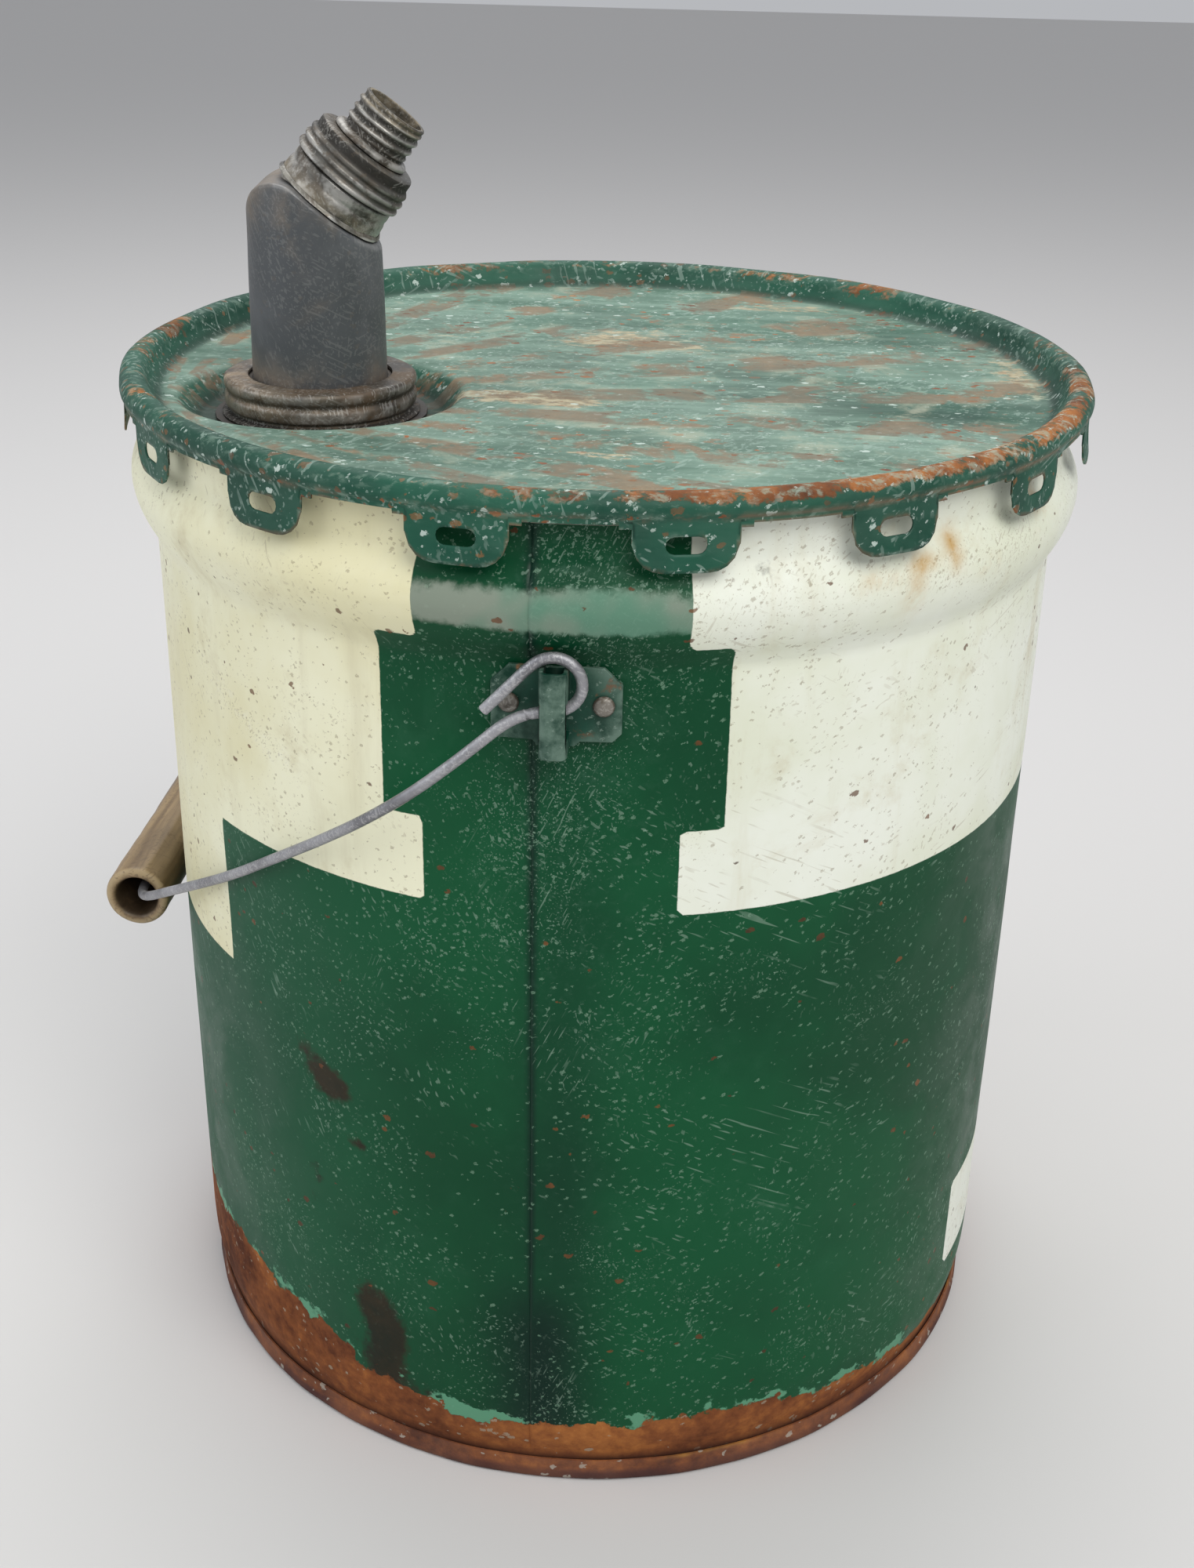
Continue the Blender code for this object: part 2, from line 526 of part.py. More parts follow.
def make_cap(finish, gasket_finish, outlet_axis):
    """Reducer cap with a rolled thread, the washer in it, and the small threaded nozzle on it."""
    bore = OUTLET_RADIUS - OUTLET_STEP + CAP_PLAY
    mouth = OUTLET_RADIUS + 1.5 * CAP_PLAY
    band, ridge = bore + CAP_WALL, bore + CAP_WALL + CAP_RIDGE
    valley = ridge - 0.6 * MM
    washer_foot = OUTLET_LENGTH + GAP
    plate_foot = washer_foot + WASHER_THICKNESS + 2 * GAP
    top = plate_foot + CAP_WALL
    hole = NOZZLE_RADIUS + GAP
    step = OUTLET_STEP_AT
    outline = [(hole, top), (band - 0.8 * MM, top), (band, top - 0.9 * MM), (band, step + 5.8 * MM)]
    outline += [(ridge - 0.5 * MM, step + 5.0 * MM), (ridge - 0.5 * MM, step + 4.2 * MM)]
    outline += [(valley, step + 3.4 * MM), (ridge, step + 2.6 * MM), (ridge, step + 1.6 * MM)]
    outline += [(valley, step + 0.9 * MM), (valley, step + 0.4 * MM), (ridge, step - 0.2 * MM)]
    outline += [(ridge, CAP_START), (mouth, CAP_START), (mouth, step), (bore, step + 1.2 * MM)]
    outline += [(bore, plate_foot), (hole, plate_foot)]
    turned("reducer_cap", outline, SPOUT_STEPS, finish, outlet_axis)
    inside = NOZZLE_RADIUS + NOZZLE_WALL + 2 * GAP
    washer("cap_gasket", inside, bore - CAP_PLAY, washer_foot, WASHER_THICKNESS, gasket_finish,
           outlet_axis)
    end = top + NOZZLE_LENGTH
    outer, high, inner = NOZZLE_RADIUS, NOZZLE_RADIUS + NOZZLE_RIDGE, NOZZLE_RADIUS - NOZZLE_WALL
    nozzle = [(inner, end), (outer, end), (outer + 0.2 * MM, end - 0.6 * MM), (outer, end - 1.8 * MM)]
    for i in range(3):
        z = end - 3.6 * MM - i * NOZZLE_RIDGE_STEP
        nozzle += [(outer, z + 0.9 * MM), (high, z + 0.3 * MM), (high, z - 0.3 * MM), (outer, z - 0.9 * MM)]
    collar = outer + NOZZLE_COLLAR
    nozzle += [(outer, top + 2.2 * MM), (collar, top + 1.3 * MM), (collar, top + GAP), (outer, top + GAP)]
    nozzle += [(outer, plate_foot - GAP), (outer + NOZZLE_WALL, plate_foot - GAP)]
    nozzle += [(outer + NOZZLE_WALL, plate_foot - GAP - 1 * MM), (inner, plate_foot - GAP - 1 * MM)]
    turned("nozzle", nozzle, SPOUT_STEPS, finish, outlet_axis)


def ear_plate_outline():
    """Plate with cut corners and a tab at its foot, X across and Y up from the bail's axis."""
    half, cut, small = EAR_WIDTH / 2, EAR_CHAMFER, EAR_CHAMFER / 2
    foot = -EAR_BOTTOM - EAR_TAB_DROP
    right = [(EAR_TAB - EAR_TAB_DROP, foot), (EAR_TAB, -EAR_BOTTOM), (half - small, -EAR_BOTTOM)]
    right += [(half, -EAR_BOTTOM + small), (half, EAR_TOP - cut), (half - cut, EAR_TOP)]
    return right + [(-x, y) for x, y in reversed(right)]


def make_ear(name, finish, axis):
    """Stamped ear: curved plate, and a bridged loop with a window for the bail's eye."""
    upright = Matrix.Rotation(math.pi / 2, 4, "X")
    ear = prism(name, [ear_plate_outline()], BODY_RADIUS - 10 * MM, EAR_FACE + 10 * MM, upright,
                axis, finish)
    low, high = -EAR_BOTTOM - 10 * MM, EAR_TOP + 10 * MM
    middle = EAR_FACE - EAR_PLATE / 2
    shell = turned(name + "_shell", thicken([(middle, high), (middle, low)], EAR_PLATE), ROUND_STEPS,
                   None, axis)
    combine(ear, shell, "INTERSECT")
    front = WIRE_PLANE + WIRE_RADIUS + LOOP_PLAY
    outer, inner = LOOP_HALF_WIDTH, LOOP_HALF_WIDTH - LOOP_WALL
    back = EAR_FACE - EAR_PLATE / 2
    tip = front + LOOP_WALL
    round_out, round_in = LOOP_CORNER, LOOP_CORNER - LOOP_WALL
    channel = [(outer, -back)] + arc((outer - round_out, round_out - tip), round_out, 0, -90, 3)
    channel += arc((round_out - outer, round_out - tip), round_out, -90, -180, 3) + [(-outer, -back)]
    channel += [(-inner, -back)] + arc((round_in - inner, round_in - front), round_in, -180, -90, 2)
    channel += arc((inner - round_in, round_in - front), round_in, -90, 0, 2) + [(inner, -back)]
    eye_inside = EYE_RADIUS - WIRE_RADIUS - GAP
    stub = math.sqrt(max(eye_inside**2 - LOOP_HALF_WIDTH**2, MM**2))
    loop = prism(name + "_loop", [channel], -EAR_BOTTOM - EAR_TAB_DROP, stub, Matrix(), axis)
    window = [(-2 * outer, 0.0), (2 * outer, 0.0), (2 * outer, -front + 0.05 * MM),
              (-2 * outer, -front + 0.05 * MM)]
    combine(loop, prism(name + "_window", [window], -LOOP_WINDOW_DROP, -stub, Matrix(), axis),
            "DIFFERENCE")
    return combine(ear, loop, "UNION")


def make_rivets(side, ear, body, finish, axis):
    """Two rivets through an ear and the wall, with the holes that they fill."""
    outside, inside = EAR_FACE + GAP, BODY_RADIUS - SHEET - 2 * GAP
    for place, sign in (("left", -1), ("right", 1)):
        bearing = sign * math.asin(RIVET_SPACING / 2 / EAR_FACE)
        frame = empty(f"rivet_axis_{side}_{place}", (0.0, 0.0, (EAR_TOP - EAR_BOTTOM) / 2),
                      (math.pi / 2, 0.0, bearing), axis)
        outline = [(0.0, outside + RIVET_RISE), (0.6 * RIVET_HEAD, outside + 0.85 * RIVET_RISE)]
        outline += [(RIVET_HEAD, outside + 0.3 * RIVET_RISE), (RIVET_HEAD, outside)]
        outline += [(RIVET_RADIUS, outside), (RIVET_RADIUS, inside), (RIVET_HEAD, inside)]
        outline += [(RIVET_HEAD, inside - 1 * MM), (0.0, inside - 1 * MM)]
        turned(f"rivet_{side}_{place}", outline, 16, finish, frame)
        hole = RIVET_RADIUS + GAP
        drill = turned(f"rivet_hole_{side}_{place}", [(0.0, outside), (hole, outside), (hole, inside),
                                                      (0.0, inside)], 16, None, frame)
        combine(ear, drill, "DIFFERENCE")
        combine(body, drill, "DIFFERENCE")


def bail_side():
    """(reach, half width) of one side of the bail in its own plane, from the eye to the grip.

    It is the tightest outward-curving line that clears the bead, the cover's rim at every angle of
    the swing, and the wall that the bail rests against.
    """
    clear = WIRE_RADIUS + BAIL_MARGIN
    limits = ((BEAD_RADIUS, PAIL_HEIGHT - BEAD_CREST_DROP - BAIL_Z),
              (RIM_RADIUS, SKIRT_EDGE - LUG_LENGTH - BAIL_Z), (RIM_RADIUS, RIM_TOP - 4 * MM - BAIL_Z))
    slant = math.cos(math.radians(BAIL_REST))
    start = (EYE_RADIUS + WIRE_RADIUS, WIRE_PLANE)
    corner = (BAIL_REACH - 4 * MM, GRIP_LENGTH / 2 + 5 * MM)
    needed = [start]
    count = 160
    for i in range(count + 1):
        reach = start[0] + (corner[0] - start[0]) * i / count
        widths = [(radius + clear) ** 2 - reach**2 + height**2 for radius, height in limits if reach >= height]
        widths.append((BODY_RADIUS + clear) ** 2 - (reach * slant) ** 2)
        width = math.sqrt(max(max(widths), corner[1] ** 2))
        if i == 0:
            width = start[1]
        needed.append((reach, width))
    needed.append(corner)
    line = []
    for point in needed:
        while len(line) > 1 and turn_of(line[-2], line[-1], point) >= 0:
            line.pop()
        line.append(point)
    return line + [(BAIL_REACH, GRIP_LENGTH / 2 - 5 * MM), (BAIL_REACH, 0.0)]


def turn_of(a, b, c):
    """Positive where the line a, b, c turns to the left."""
    return (b[0] - a[0]) * (c[1] - a[1]) - (b[1] - a[1]) * (c[0] - a[0])


def evenly(points, step, smoothing):
    """The same line with points a step apart, its corners eased by a few rounds of averaging."""
    points = [Vector(point) for point in points]
    lengths = [0.0]
    for a, b in zip(points, points[1:], strict=False):
        lengths.append(lengths[-1] + (b - a).length)
    count = max(round(lengths[-1] / step), 2)
    line, at = [], 0
    for i in range(count + 1):
        want = lengths[-1] * i / count
        while at < len(points) - 2 and lengths[at + 1] < want:
            at += 1
        span = max(lengths[at + 1] - lengths[at], 1e-9)
        line.append(points[at].lerp(points[at + 1], (want - lengths[at]) / span))
    for _ in range(smoothing):
        eased = [(a + 2 * b + c) / 4 for a, b, c in zip(line, line[1:], line[2:], strict=False)]
        line = [line[0]] + eased + [line[-1]]
    return line


def bail_points():
    """Middle of the bail's wire, relative to its swing axis, from one cut end to the other."""
    touch = EYE_SPLAY_ANGLE - math.degrees(math.acos(EYE_RADIUS / EYE_SPLAY))
    splay = math.radians(EYE_SPLAY_ANGLE)
    eye = [(EYE_SPLAY * math.cos(splay), EYE_SPLAY * math.sin(splay))]
    eye += arc((0.0, 0.0), EYE_RADIUS, touch, -90, 13)
    eye += [(-0.55 * EYE_RADIUS, -1.02 * EYE_RADIUS), (-1.05 * EYE_RADIUS, -1.12 * EYE_RADIUS)]
    end = [Vector((x, -WIRE_PLANE, z)) for x, z in eye]
    end[0].y -= EYE_SPLAY_OUT
    end[-1].y -= EYE_FOOT_OUT
    side = bail_side()
    start = 2.0 * EYE_RADIUS
    side = [point for point in evenly(side, 8 * MM, 2) if point.x >= start]
    arm = [Vector((u * math.cos(REST), -y, u * math.sin(REST))) for u, y in side]
    half = end + arm
    return half + [Vector((p.x, -p.y, p.z)) for p in reversed(half[:-1])]


def make_bail(finish, axis):
    curve = bpy.data.curves.new("bail_wire", "CURVE")
    curve.dimensions = "3D"
    curve.bevel_depth = WIRE_RADIUS
    curve.bevel_resolution = 2
    curve.use_fill_caps = True
    points = bail_points()
    spline = curve.splines.new("POLY")
    spline.points.add(len(points) - 1)
    for point, place in zip(spline.points, points, strict=True):
        point.co = (*place, 1.0)
    return link(bpy.data.objects.new("bail_wire", curve), finish, axis)


def make_grip(finish, axis):
    """Hollow wooden grip with rounded lips and a faint ridge, turned about the wire."""
    half, lip = GRIP_LENGTH / 2, 1.5 * MM
    outline = [(GRIP_BORE + lip / 2, half), (GRIP_RADIUS - lip, half), (GRIP_RADIUS, half - lip)]
    outline += [(GRIP_RADIUS, -half + lip), (GRIP_RADIUS - lip, -half), (GRIP_BORE + lip / 2, -half)]
    outline += [(GRIP_BORE, -half + lip), (GRIP_BORE, half - lip)]
    return turned("grip", outline, 24, finish, axis)


def main():
    global parts, cutters
    clear_scene()
    parts = new_collection("lug_cover_pail")
    cutters = new_collection("cutters")
    cutters.hide_render = True

    green = material("pail_green", (0.01, 0.10, 0.035), 0.45, 0.1)
    cover = material("cover_green", (0.10, 0.27, 0.19), 0.6, 0.1)
    rusty = material("rusty_steel", (0.28, 0.10, 0.05), 0.85, 0.2)
    zinc = material("dull_zinc", (0.16, 0.16, 0.17), 0.5, 0.7)
    brown = material("browned_steel", (0.14, 0.11, 0.08), 0.55, 0.6)
    bright = material("worn_tinplate", (0.35, 0.34, 0.32), 0.35, 0.9)
    wire = material("galvanised_wire", (0.30, 0.30, 0.32), 0.45, 0.8)
    solder = material("old_solder", (0.30, 0.28, 0.22), 0.5, 0.6)
    wood = material("worn_wood", (0.30, 0.20, 0.10), 0.7, 0.0)
    cork = material("gasket", (0.05, 0.04, 0.035), 0.8, 0.0)

    bearing = math.radians(SPOUT_BEARING)
    spout_place = (SPOUT_DISTANCE * math.cos(bearing), SPOUT_DISTANCE * math.sin(bearing), 0.0)
    spout_axis = empty("spout_axis", spout_place)
    lean_axis = empty("lean_axis", (0.0, 0.0, 0.0), (0.0, 0.0, math.radians(SPOUT_TURN)), spout_axis)
    outlet_axis = empty("outlet_axis", (OUTLET_OFFSET, 0.0, OUTLET_Z), (0.0, LEAN, 0.0), lean_axis)
    bail_axis = empty("bail_axis", (0.0, 0.0, BAIL_Z))
    rear_axis = empty("rear_ear_axis", (0.0, 0.0, 0.0), (0.0, 0.0, math.pi), bail_axis)
    grip_place = (BAIL_REACH * math.cos(REST), 0.0, BAIL_REACH * math.sin(REST))
    grip_axis = empty("grip_axis", grip_place, (math.pi / 2, 0.0, 0.0), bail_axis)

    body = make_body(green)
    make_bottom(rusty)
    for side, axis in (("front", bail_axis), ("rear", rear_axis)):
        ear = make_ear(f"ear_{side}", green, axis)
        make_rivets(side, ear, body, zinc, axis)
    make_bail(wire, bail_axis)
    make_grip(wood, grip_axis)
    make_lid(cover, spout_axis)
    make_lid_gasket(cork)
    make_neck(brown, cork, spout_axis)
    make_ring_nut(brown, spout_axis)
    washer("spout_gasket", NUT_HOLE, NUT_IN - 2 * GAP, NECK_TOP + GAP, WASHER_THICKNESS, cork,
           spout_axis)
    make_spout(zinc, lean_axis, outlet_axis)
    make_outlet(bright, solder, outlet_axis)
    make_cap(bright, cork, outlet_axis)

    bpy.context.view_layer.update()
    for piece in [item for item in parts.objects if item.type == "MESH"]:
        finish_mesh(piece)


main()
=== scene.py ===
import json
import math

import bmesh
import bpy
import numpy as np
from mathutils import Matrix, Vector


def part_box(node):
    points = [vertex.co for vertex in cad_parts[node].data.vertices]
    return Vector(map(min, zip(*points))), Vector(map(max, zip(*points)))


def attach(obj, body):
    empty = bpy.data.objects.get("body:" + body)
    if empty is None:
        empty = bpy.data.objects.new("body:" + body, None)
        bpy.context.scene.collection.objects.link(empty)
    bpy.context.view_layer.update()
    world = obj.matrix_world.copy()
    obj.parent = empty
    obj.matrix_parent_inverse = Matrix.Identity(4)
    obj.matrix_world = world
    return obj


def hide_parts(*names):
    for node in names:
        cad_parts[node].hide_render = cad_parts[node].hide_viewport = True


mm = 0.001
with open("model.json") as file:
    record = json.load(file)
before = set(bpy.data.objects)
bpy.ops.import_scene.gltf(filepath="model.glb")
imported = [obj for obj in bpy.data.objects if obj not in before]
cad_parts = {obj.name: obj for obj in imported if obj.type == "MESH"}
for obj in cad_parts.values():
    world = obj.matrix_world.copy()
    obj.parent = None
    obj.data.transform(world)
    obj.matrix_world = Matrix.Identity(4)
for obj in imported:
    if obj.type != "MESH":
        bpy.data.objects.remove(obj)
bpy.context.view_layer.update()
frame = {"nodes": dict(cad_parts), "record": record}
joints = {joint["name"]: joint for joint in frame["record"]["behaviour"]["joints"]}
print("frame loaded:", len(frame["nodes"]), "nodes")


def easedLine(points, step, rounds=0):
    # the line through the points cut into equal steps, then each inner point moved halfway
    # to the middle of its neighbours, a number of rounds over
    points = np.asarray(points, float)
    at = np.concatenate([[0], np.cumsum(np.linalg.norm(np.diff(points, axis=0), axis=1))])
    want = np.linspace(0, at[-1], max(int(at[-1] / step), 2) + 1)
    line = np.stack([np.interp(want, at, column) for column in points.T], 1)
    for _ in range(rounds):
        line[1:-1] = (line[:-2] + 2 * line[1:-1] + line[2:]) / 4
    return line


def easedLoop(points, step, rounds=1):
    # the same for a closed outline, whose ends are neighbours too
    closed = np.vstack([points, points[:1]])
    line = easedLine(closed, step)[:-1]
    for _ in range(rounds):
        line = (np.roll(line, 1, 0) + 2 * line + np.roll(line, -1, 0)) / 4
    return line


def arcLine(centre, radius, start, end, count):
    # centre + radius * (cos a, sin a), with a from start to end in degrees
    a = np.radians(np.linspace(start, end, count))
    return np.stack([centre[0] + radius * np.cos(a), centre[1] + radius * np.sin(a)], 1)


def sheetLoop(line, wall):
    # the closed outline of a sheet: its middle line moved half a wall to each side
    along = np.gradient(line, axis=0)
    along /= np.linalg.norm(along, axis=1, keepdims=True)
    side = np.stack([-along[:, 1], along[:, 0]], 1) * wall / 2
    return np.vstack([line + side, (line - side)[::-1]])


def smoothStep(low, high, value):
    # 0 below low, 1 above high, and 3t^2 - 2t^3 between
    t = np.clip((value - low) / (high - low), 0, 1)
    return t * t * (3 - 2 * t)


def bump(distance, width):
    # exp(-(d/w)^2): 1 at no distance, fading over a width
    return np.exp(-(distance / width) ** 2)


def ripple(x, y, seed, size, count=14):
    # a sum of plane waves of about one size in seeded directions, between about -1 and 1
    random = np.random.default_rng(seed)
    total = np.zeros(np.broadcast(x, y).shape)
    for _ in range(count):
        angle, phase, scale = random.uniform(0, 2 * math.pi,
                2).tolist() + [random.uniform(0.6, 1.7)]
        wave = 2 * math.pi / (size * scale)
        total += np.sin(wave * (x * math.cos(angle) + y * math.sin(angle)) + phase)
    return total / math.sqrt(count)


def gridPiece(name, body, grid, material, acrossClosed=True, alongClosed=False, fields=None,
              wall=0.0, keep=None, replaced=(), sharp=38):
    # grid[i, j] is the point of row i and column j; neighbours make four-sided faces.
    # keep says which faces stay, and fields are values that go with the points.
    rows, columns = grid.shape[:2]
    i = np.arange(rows if alongClosed else rows - 1)[:, None]
    j = np.arange(columns if acrossClosed else columns - 1)[None, :]
    iNext, jNext = (i + 1) % rows, (j + 1) % columns
    faces = np.stack([i * columns + j, i * columns + jNext, iNext * columns + jNext,
                      iNext * columns + j], -1)
    faces = faces[keep] if keep is not None else faces.reshape(-1, 4)
    mesh = bpy.data.meshes.new(name)
    mesh.from_pydata(grid.reshape(-1, 3).tolist(), [], faces.tolist())
    for field, values in (fields or {}).items():
        layer = mesh.attributes.new(field, "FLOAT", "POINT")
        layer.data.foreach_set("value", np.broadcast_to(values,
                grid.shape[:2]).astype(np.float32).ravel())
    tidy = bmesh.new()
    tidy.from_mesh(mesh)
    bmesh.ops.delete(tidy, geom=[v for v in tidy.verts if not v.link_faces], context="VERTS")
    bmesh.ops.remove_doubles(tidy, verts=tidy.verts, dist=2e-6)
    bmesh.ops.recalc_face_normals(tidy, faces=tidy.faces)
    tidy.to_mesh(mesh)
    tidy.free()
    mesh.shade_smooth()
    mesh.set_sharp_from_angle(angle=math.radians(sharp))
    piece = bpy.data.objects.new(name, mesh)
    bpy.context.scene.collection.objects.link(piece)
    mesh.materials.append(material)
    if wall:
        solid = piece.modifiers.new("sheet", "SOLIDIFY")
        solid.thickness = wall
        solid.offset = 0
    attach(piece, body)
    if replaced:
        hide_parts(*replaced)
    return piece


def axisFrame(lift):
    # two directions square to the lift, the first one as level as it can be
    lift = np.asarray(lift, float) / np.linalg.norm(lift)
    side = np.array([1.0, 0.0, 0.0]) if abs(lift[2]) > 0.999 else np.cross([0, 0, 1.0], lift)
    side /= np.linalg.norm(side)
    return side, np.cross(lift, side), lift


def turnedGrid(loop, angles, origin, lift=(0, 0, 1), change=None):
    # origin + r (cos a * side + sin a * across) + z * lift for each (r, z) of the loop;
    # change(r, z, a) may move r and z first
    side, across, lift = axisFrame(lift)
    r = loop[:, 0:1] + 0 * angles[None, :]
    z = loop[:, 1:2] + 0 * angles[None, :]
    a = angles[None, :] + 0 * r
    if change:
        r, z = change(r, z, a)
    flat = (r * np.cos(a))[..., None] * side + (r * np.sin(a))[..., None] * across
    return np.asarray(origin) + flat + z[..., None] * lift


def roundAngles(count):
    return np.linspace(0, 2 * math.pi, count, endpoint=False)


def put(tree, kind, inputs=None, **settings):
    # a new node; an input that is a socket is linked, and any other is set
    node = tree.nodes.new(kind)
    for key, value in settings.items():
        setattr(node, key, value)
    for key, value in (inputs or {}).items():
        if isinstance(value, bpy.types.NodeSocket):
            tree.links.new(value, node.inputs[key])
        else:
            node.inputs[key].default_value = value
    return node


def calc(tree, operation, a, b=0.0, clamp=False):
    # one sum on two values
    return put(tree, "ShaderNodeMath", {0: a, 1: b}, operation=operation,
               use_clamp=clamp).outputs[0]


def times(tree, a, b):
    # a * b
    return calc(tree, "MULTIPLY", a, b)


def plus(tree, a, b, clamp=False):
    # a + b, kept between 0 and 1 if clamp is set
    return calc(tree, "ADD", a, b, clamp)


def minus(tree, a, b, clamp=False):
    # a - b, kept between 0 and 1 if clamp is set
    return calc(tree, "SUBTRACT", a, b, clamp)


def larger(tree, a, b):
    # the larger of the two
    return calc(tree, "MAXIMUM", a, b)


def mixed(tree, mask, a, b):
    # a * (1 - mask) + b * mask, for colours
    return put(tree, "ShaderNodeMix", {0: mask, 6: a, 7: b}, data_type="RGBA").outputs[2]


def layer(tree, below, mask, share, shade):
    # the shade laid over the colour below it, by the mask times a share
    return mixed(tree, times(tree, mask, share), below, shade)


def spread(tree, value, low, high, toLow=0.0, toHigh=1.0):
    # the value eased from low..high to toLow..toHigh, and level past both ends
    node = put(tree, "ShaderNodeMapRange", {0: value, 1: low, 2: high, 3: toLow, 4: toHigh},
               interpolation_type="SMOOTHSTEP")
    return node.outputs[0]


def noise(tree, vector, scale, detail=4.0, rough=0.55, bend=0.0):
    # soft noise between 0 and 1, with its middle near 0.5
    node = put(tree, "ShaderNodeTexNoise", {"Vector": vector, "Scale": scale, "Detail": detail,
                                            "Roughness": rough, "Distortion": bend})
    return node.outputs[0]


def stretched(tree, vector, x=1.0, y=1.0, z=1.0, turn=(0.0, 0.0, 0.0)):
    # places turned and then scaled, so that a scale under 1 draws a pattern out
    return put(tree, "ShaderNodeMapping", {"Vector": vector, "Scale": (x, y, z),
            "Rotation": turn}).outputs[0]


def field(tree, name):
    # a value that the mesh carries at its points
    return put(tree, "ShaderNodeAttribute", attribute_name=name).outputs["Fac"]


def colour(r, g, b):
    return (r, g, b, 1.0)


def newGroup(name, inputs, outputs):
    # an empty group with named sockets, what it takes and what it gives
    tree = bpy.data.node_groups.new(name, "ShaderNodeTree")
    for label, kind, value in inputs:
        socket = tree.interface.new_socket(label, in_out="INPUT", socket_type=kind)
        if value is not None:
            socket.default_value = value
    for label, kind in outputs:
        tree.interface.new_socket(label, in_out="OUTPUT", socket_type=kind)
    entry, leave = tree.nodes.new("NodeGroupInput"), tree.nodes.new("NodeGroupOutput")
    return tree, entry.outputs, leave.inputs


def useGroup(tree, group, **inputs):
    # the group placed in a material with its own values
    node = put(tree, "ShaderNodeGroup", node_tree=group)
    for key, value in inputs.items():
        socket = node.inputs[key]
        if isinstance(value, bpy.types.NodeSocket):
            tree.links.new(value, socket)
        else:
            socket.default_value = value
    return node.outputs


def buildRaggedEdge():
    # 1 where a signed distance plus noise of a given reach is positive
    tree, take, give = newGroup("raggedEdge", [
        ("Vector", "NodeSocketVector", None), ("Distance", "NodeSocketFloat", 0.0),
        ("Reach", "NodeSocketFloat", 0.002), ("Scale", "NodeSocketFloat", 60.0),
        ("Softness", "NodeSocketFloat", 0.0004)], [("Mask", "NodeSocketFloat")])
    rag = minus(tree, noise(tree, take["Vector"], take["Scale"], 7, 0.62), 0.5)
    moved = plus(tree, take["Distance"], times(tree, times(tree, rag, 4.0), take["Reach"]))
    low = times(tree, take["Softness"], -1.0)
    tree.links.new(spread(tree, moved, low, take["Softness"]), give["Mask"])
    return tree


def buildFlecks():
    # small round-edged spots: near a cell's middle, in a share of the cells, gathered by patches
    tree, take, give = newGroup("flecks", [
        ("Vector", "NodeSocketVector", None), ("Scale", "NodeSocketFloat", 300.0),
        ("Share", "NodeSocketFloat", 0.2), ("Size", "NodeSocketFloat", 0.3),
        ("Gather", "NodeSocketFloat", 12.0)], [("Mask", "NodeSocketFloat")])
    warp = noise(tree, take["Vector"], times(tree, take["Scale"], 1.7), 3)
    shifted = put(tree, "ShaderNodeVectorMath", {0: take["Vector"], 1: put(
        tree, "ShaderNodeVectorMath", {0: (0.0024, 0.0020, 0.0027), "Scale": warp},
        operation="SCALE").outputs[0]}, operation="ADD").outputs[0]
    cells = put(tree, "ShaderNodeTexVoronoi",
                {"Vector": stretched(tree, shifted, 0.6, 1.0, 1.0, (0.3, 0.5, 0.7)),
                 "Scale": take["Scale"]})
    pick = put(tree, "ShaderNodeSeparateColor", {0: cells.outputs["Color"]}).outputs
    size = times(tree, take["Size"], plus(tree, pick[1], 0.3))
    spot = spread(tree, minus(tree, size, cells.outputs["Distance"]), -0.03, 0.05)
    patch = spread(tree, noise(tree, take["Vector"], take["Gather"], 3), 0.35, 0.65, 0.25, 1.8)
    chosen = calc(tree, "LESS_THAN", pick[0], times(tree, take["Share"], patch))
    tree.links.new(times(tree, spot, chosen), give["Mask"])
    return tree


def buildScratches():
    # short straight marks: noise drawn out thirty times along one direction, where it passes a
    # high level, in three directions and gathered by patches
    tree, take, give = newGroup("scratches", [
        ("Vector", "NodeSocketVector", None), ("Scale", "NodeSocketFloat", 600.0),
        ("Level", "NodeSocketFloat", 0.66), ("Share", "NodeSocketFloat", 0.5)],
        [("Mask", "NodeSocketFloat")])
    result = None
    for turn in ((0.5, 0.3, 0.4), (-0.7, 0.9, 0.2), (1.3, -0.5, 0.9)):
        turned = stretched(tree, take["Vector"], turn=turn)
        drawn = stretched(tree, turned, 1.0, 1.0, 0.035)
        line = spread(tree, minus(tree, noise(tree, drawn, take["Scale"], 1, 0.4), take["Level"]),
                      0.0, 0.03)
        patch = noise(tree, turned, 26.0, 4, 0.6)
        kept = spread(tree, plus(tree, patch, times(tree, take["Share"], 0.3)), 0.60, 0.72)
        part = times(tree, line, kept)
        result = part if result is None else larger(tree, result, part)
    tree.links.new(result, give["Mask"])
    return tree


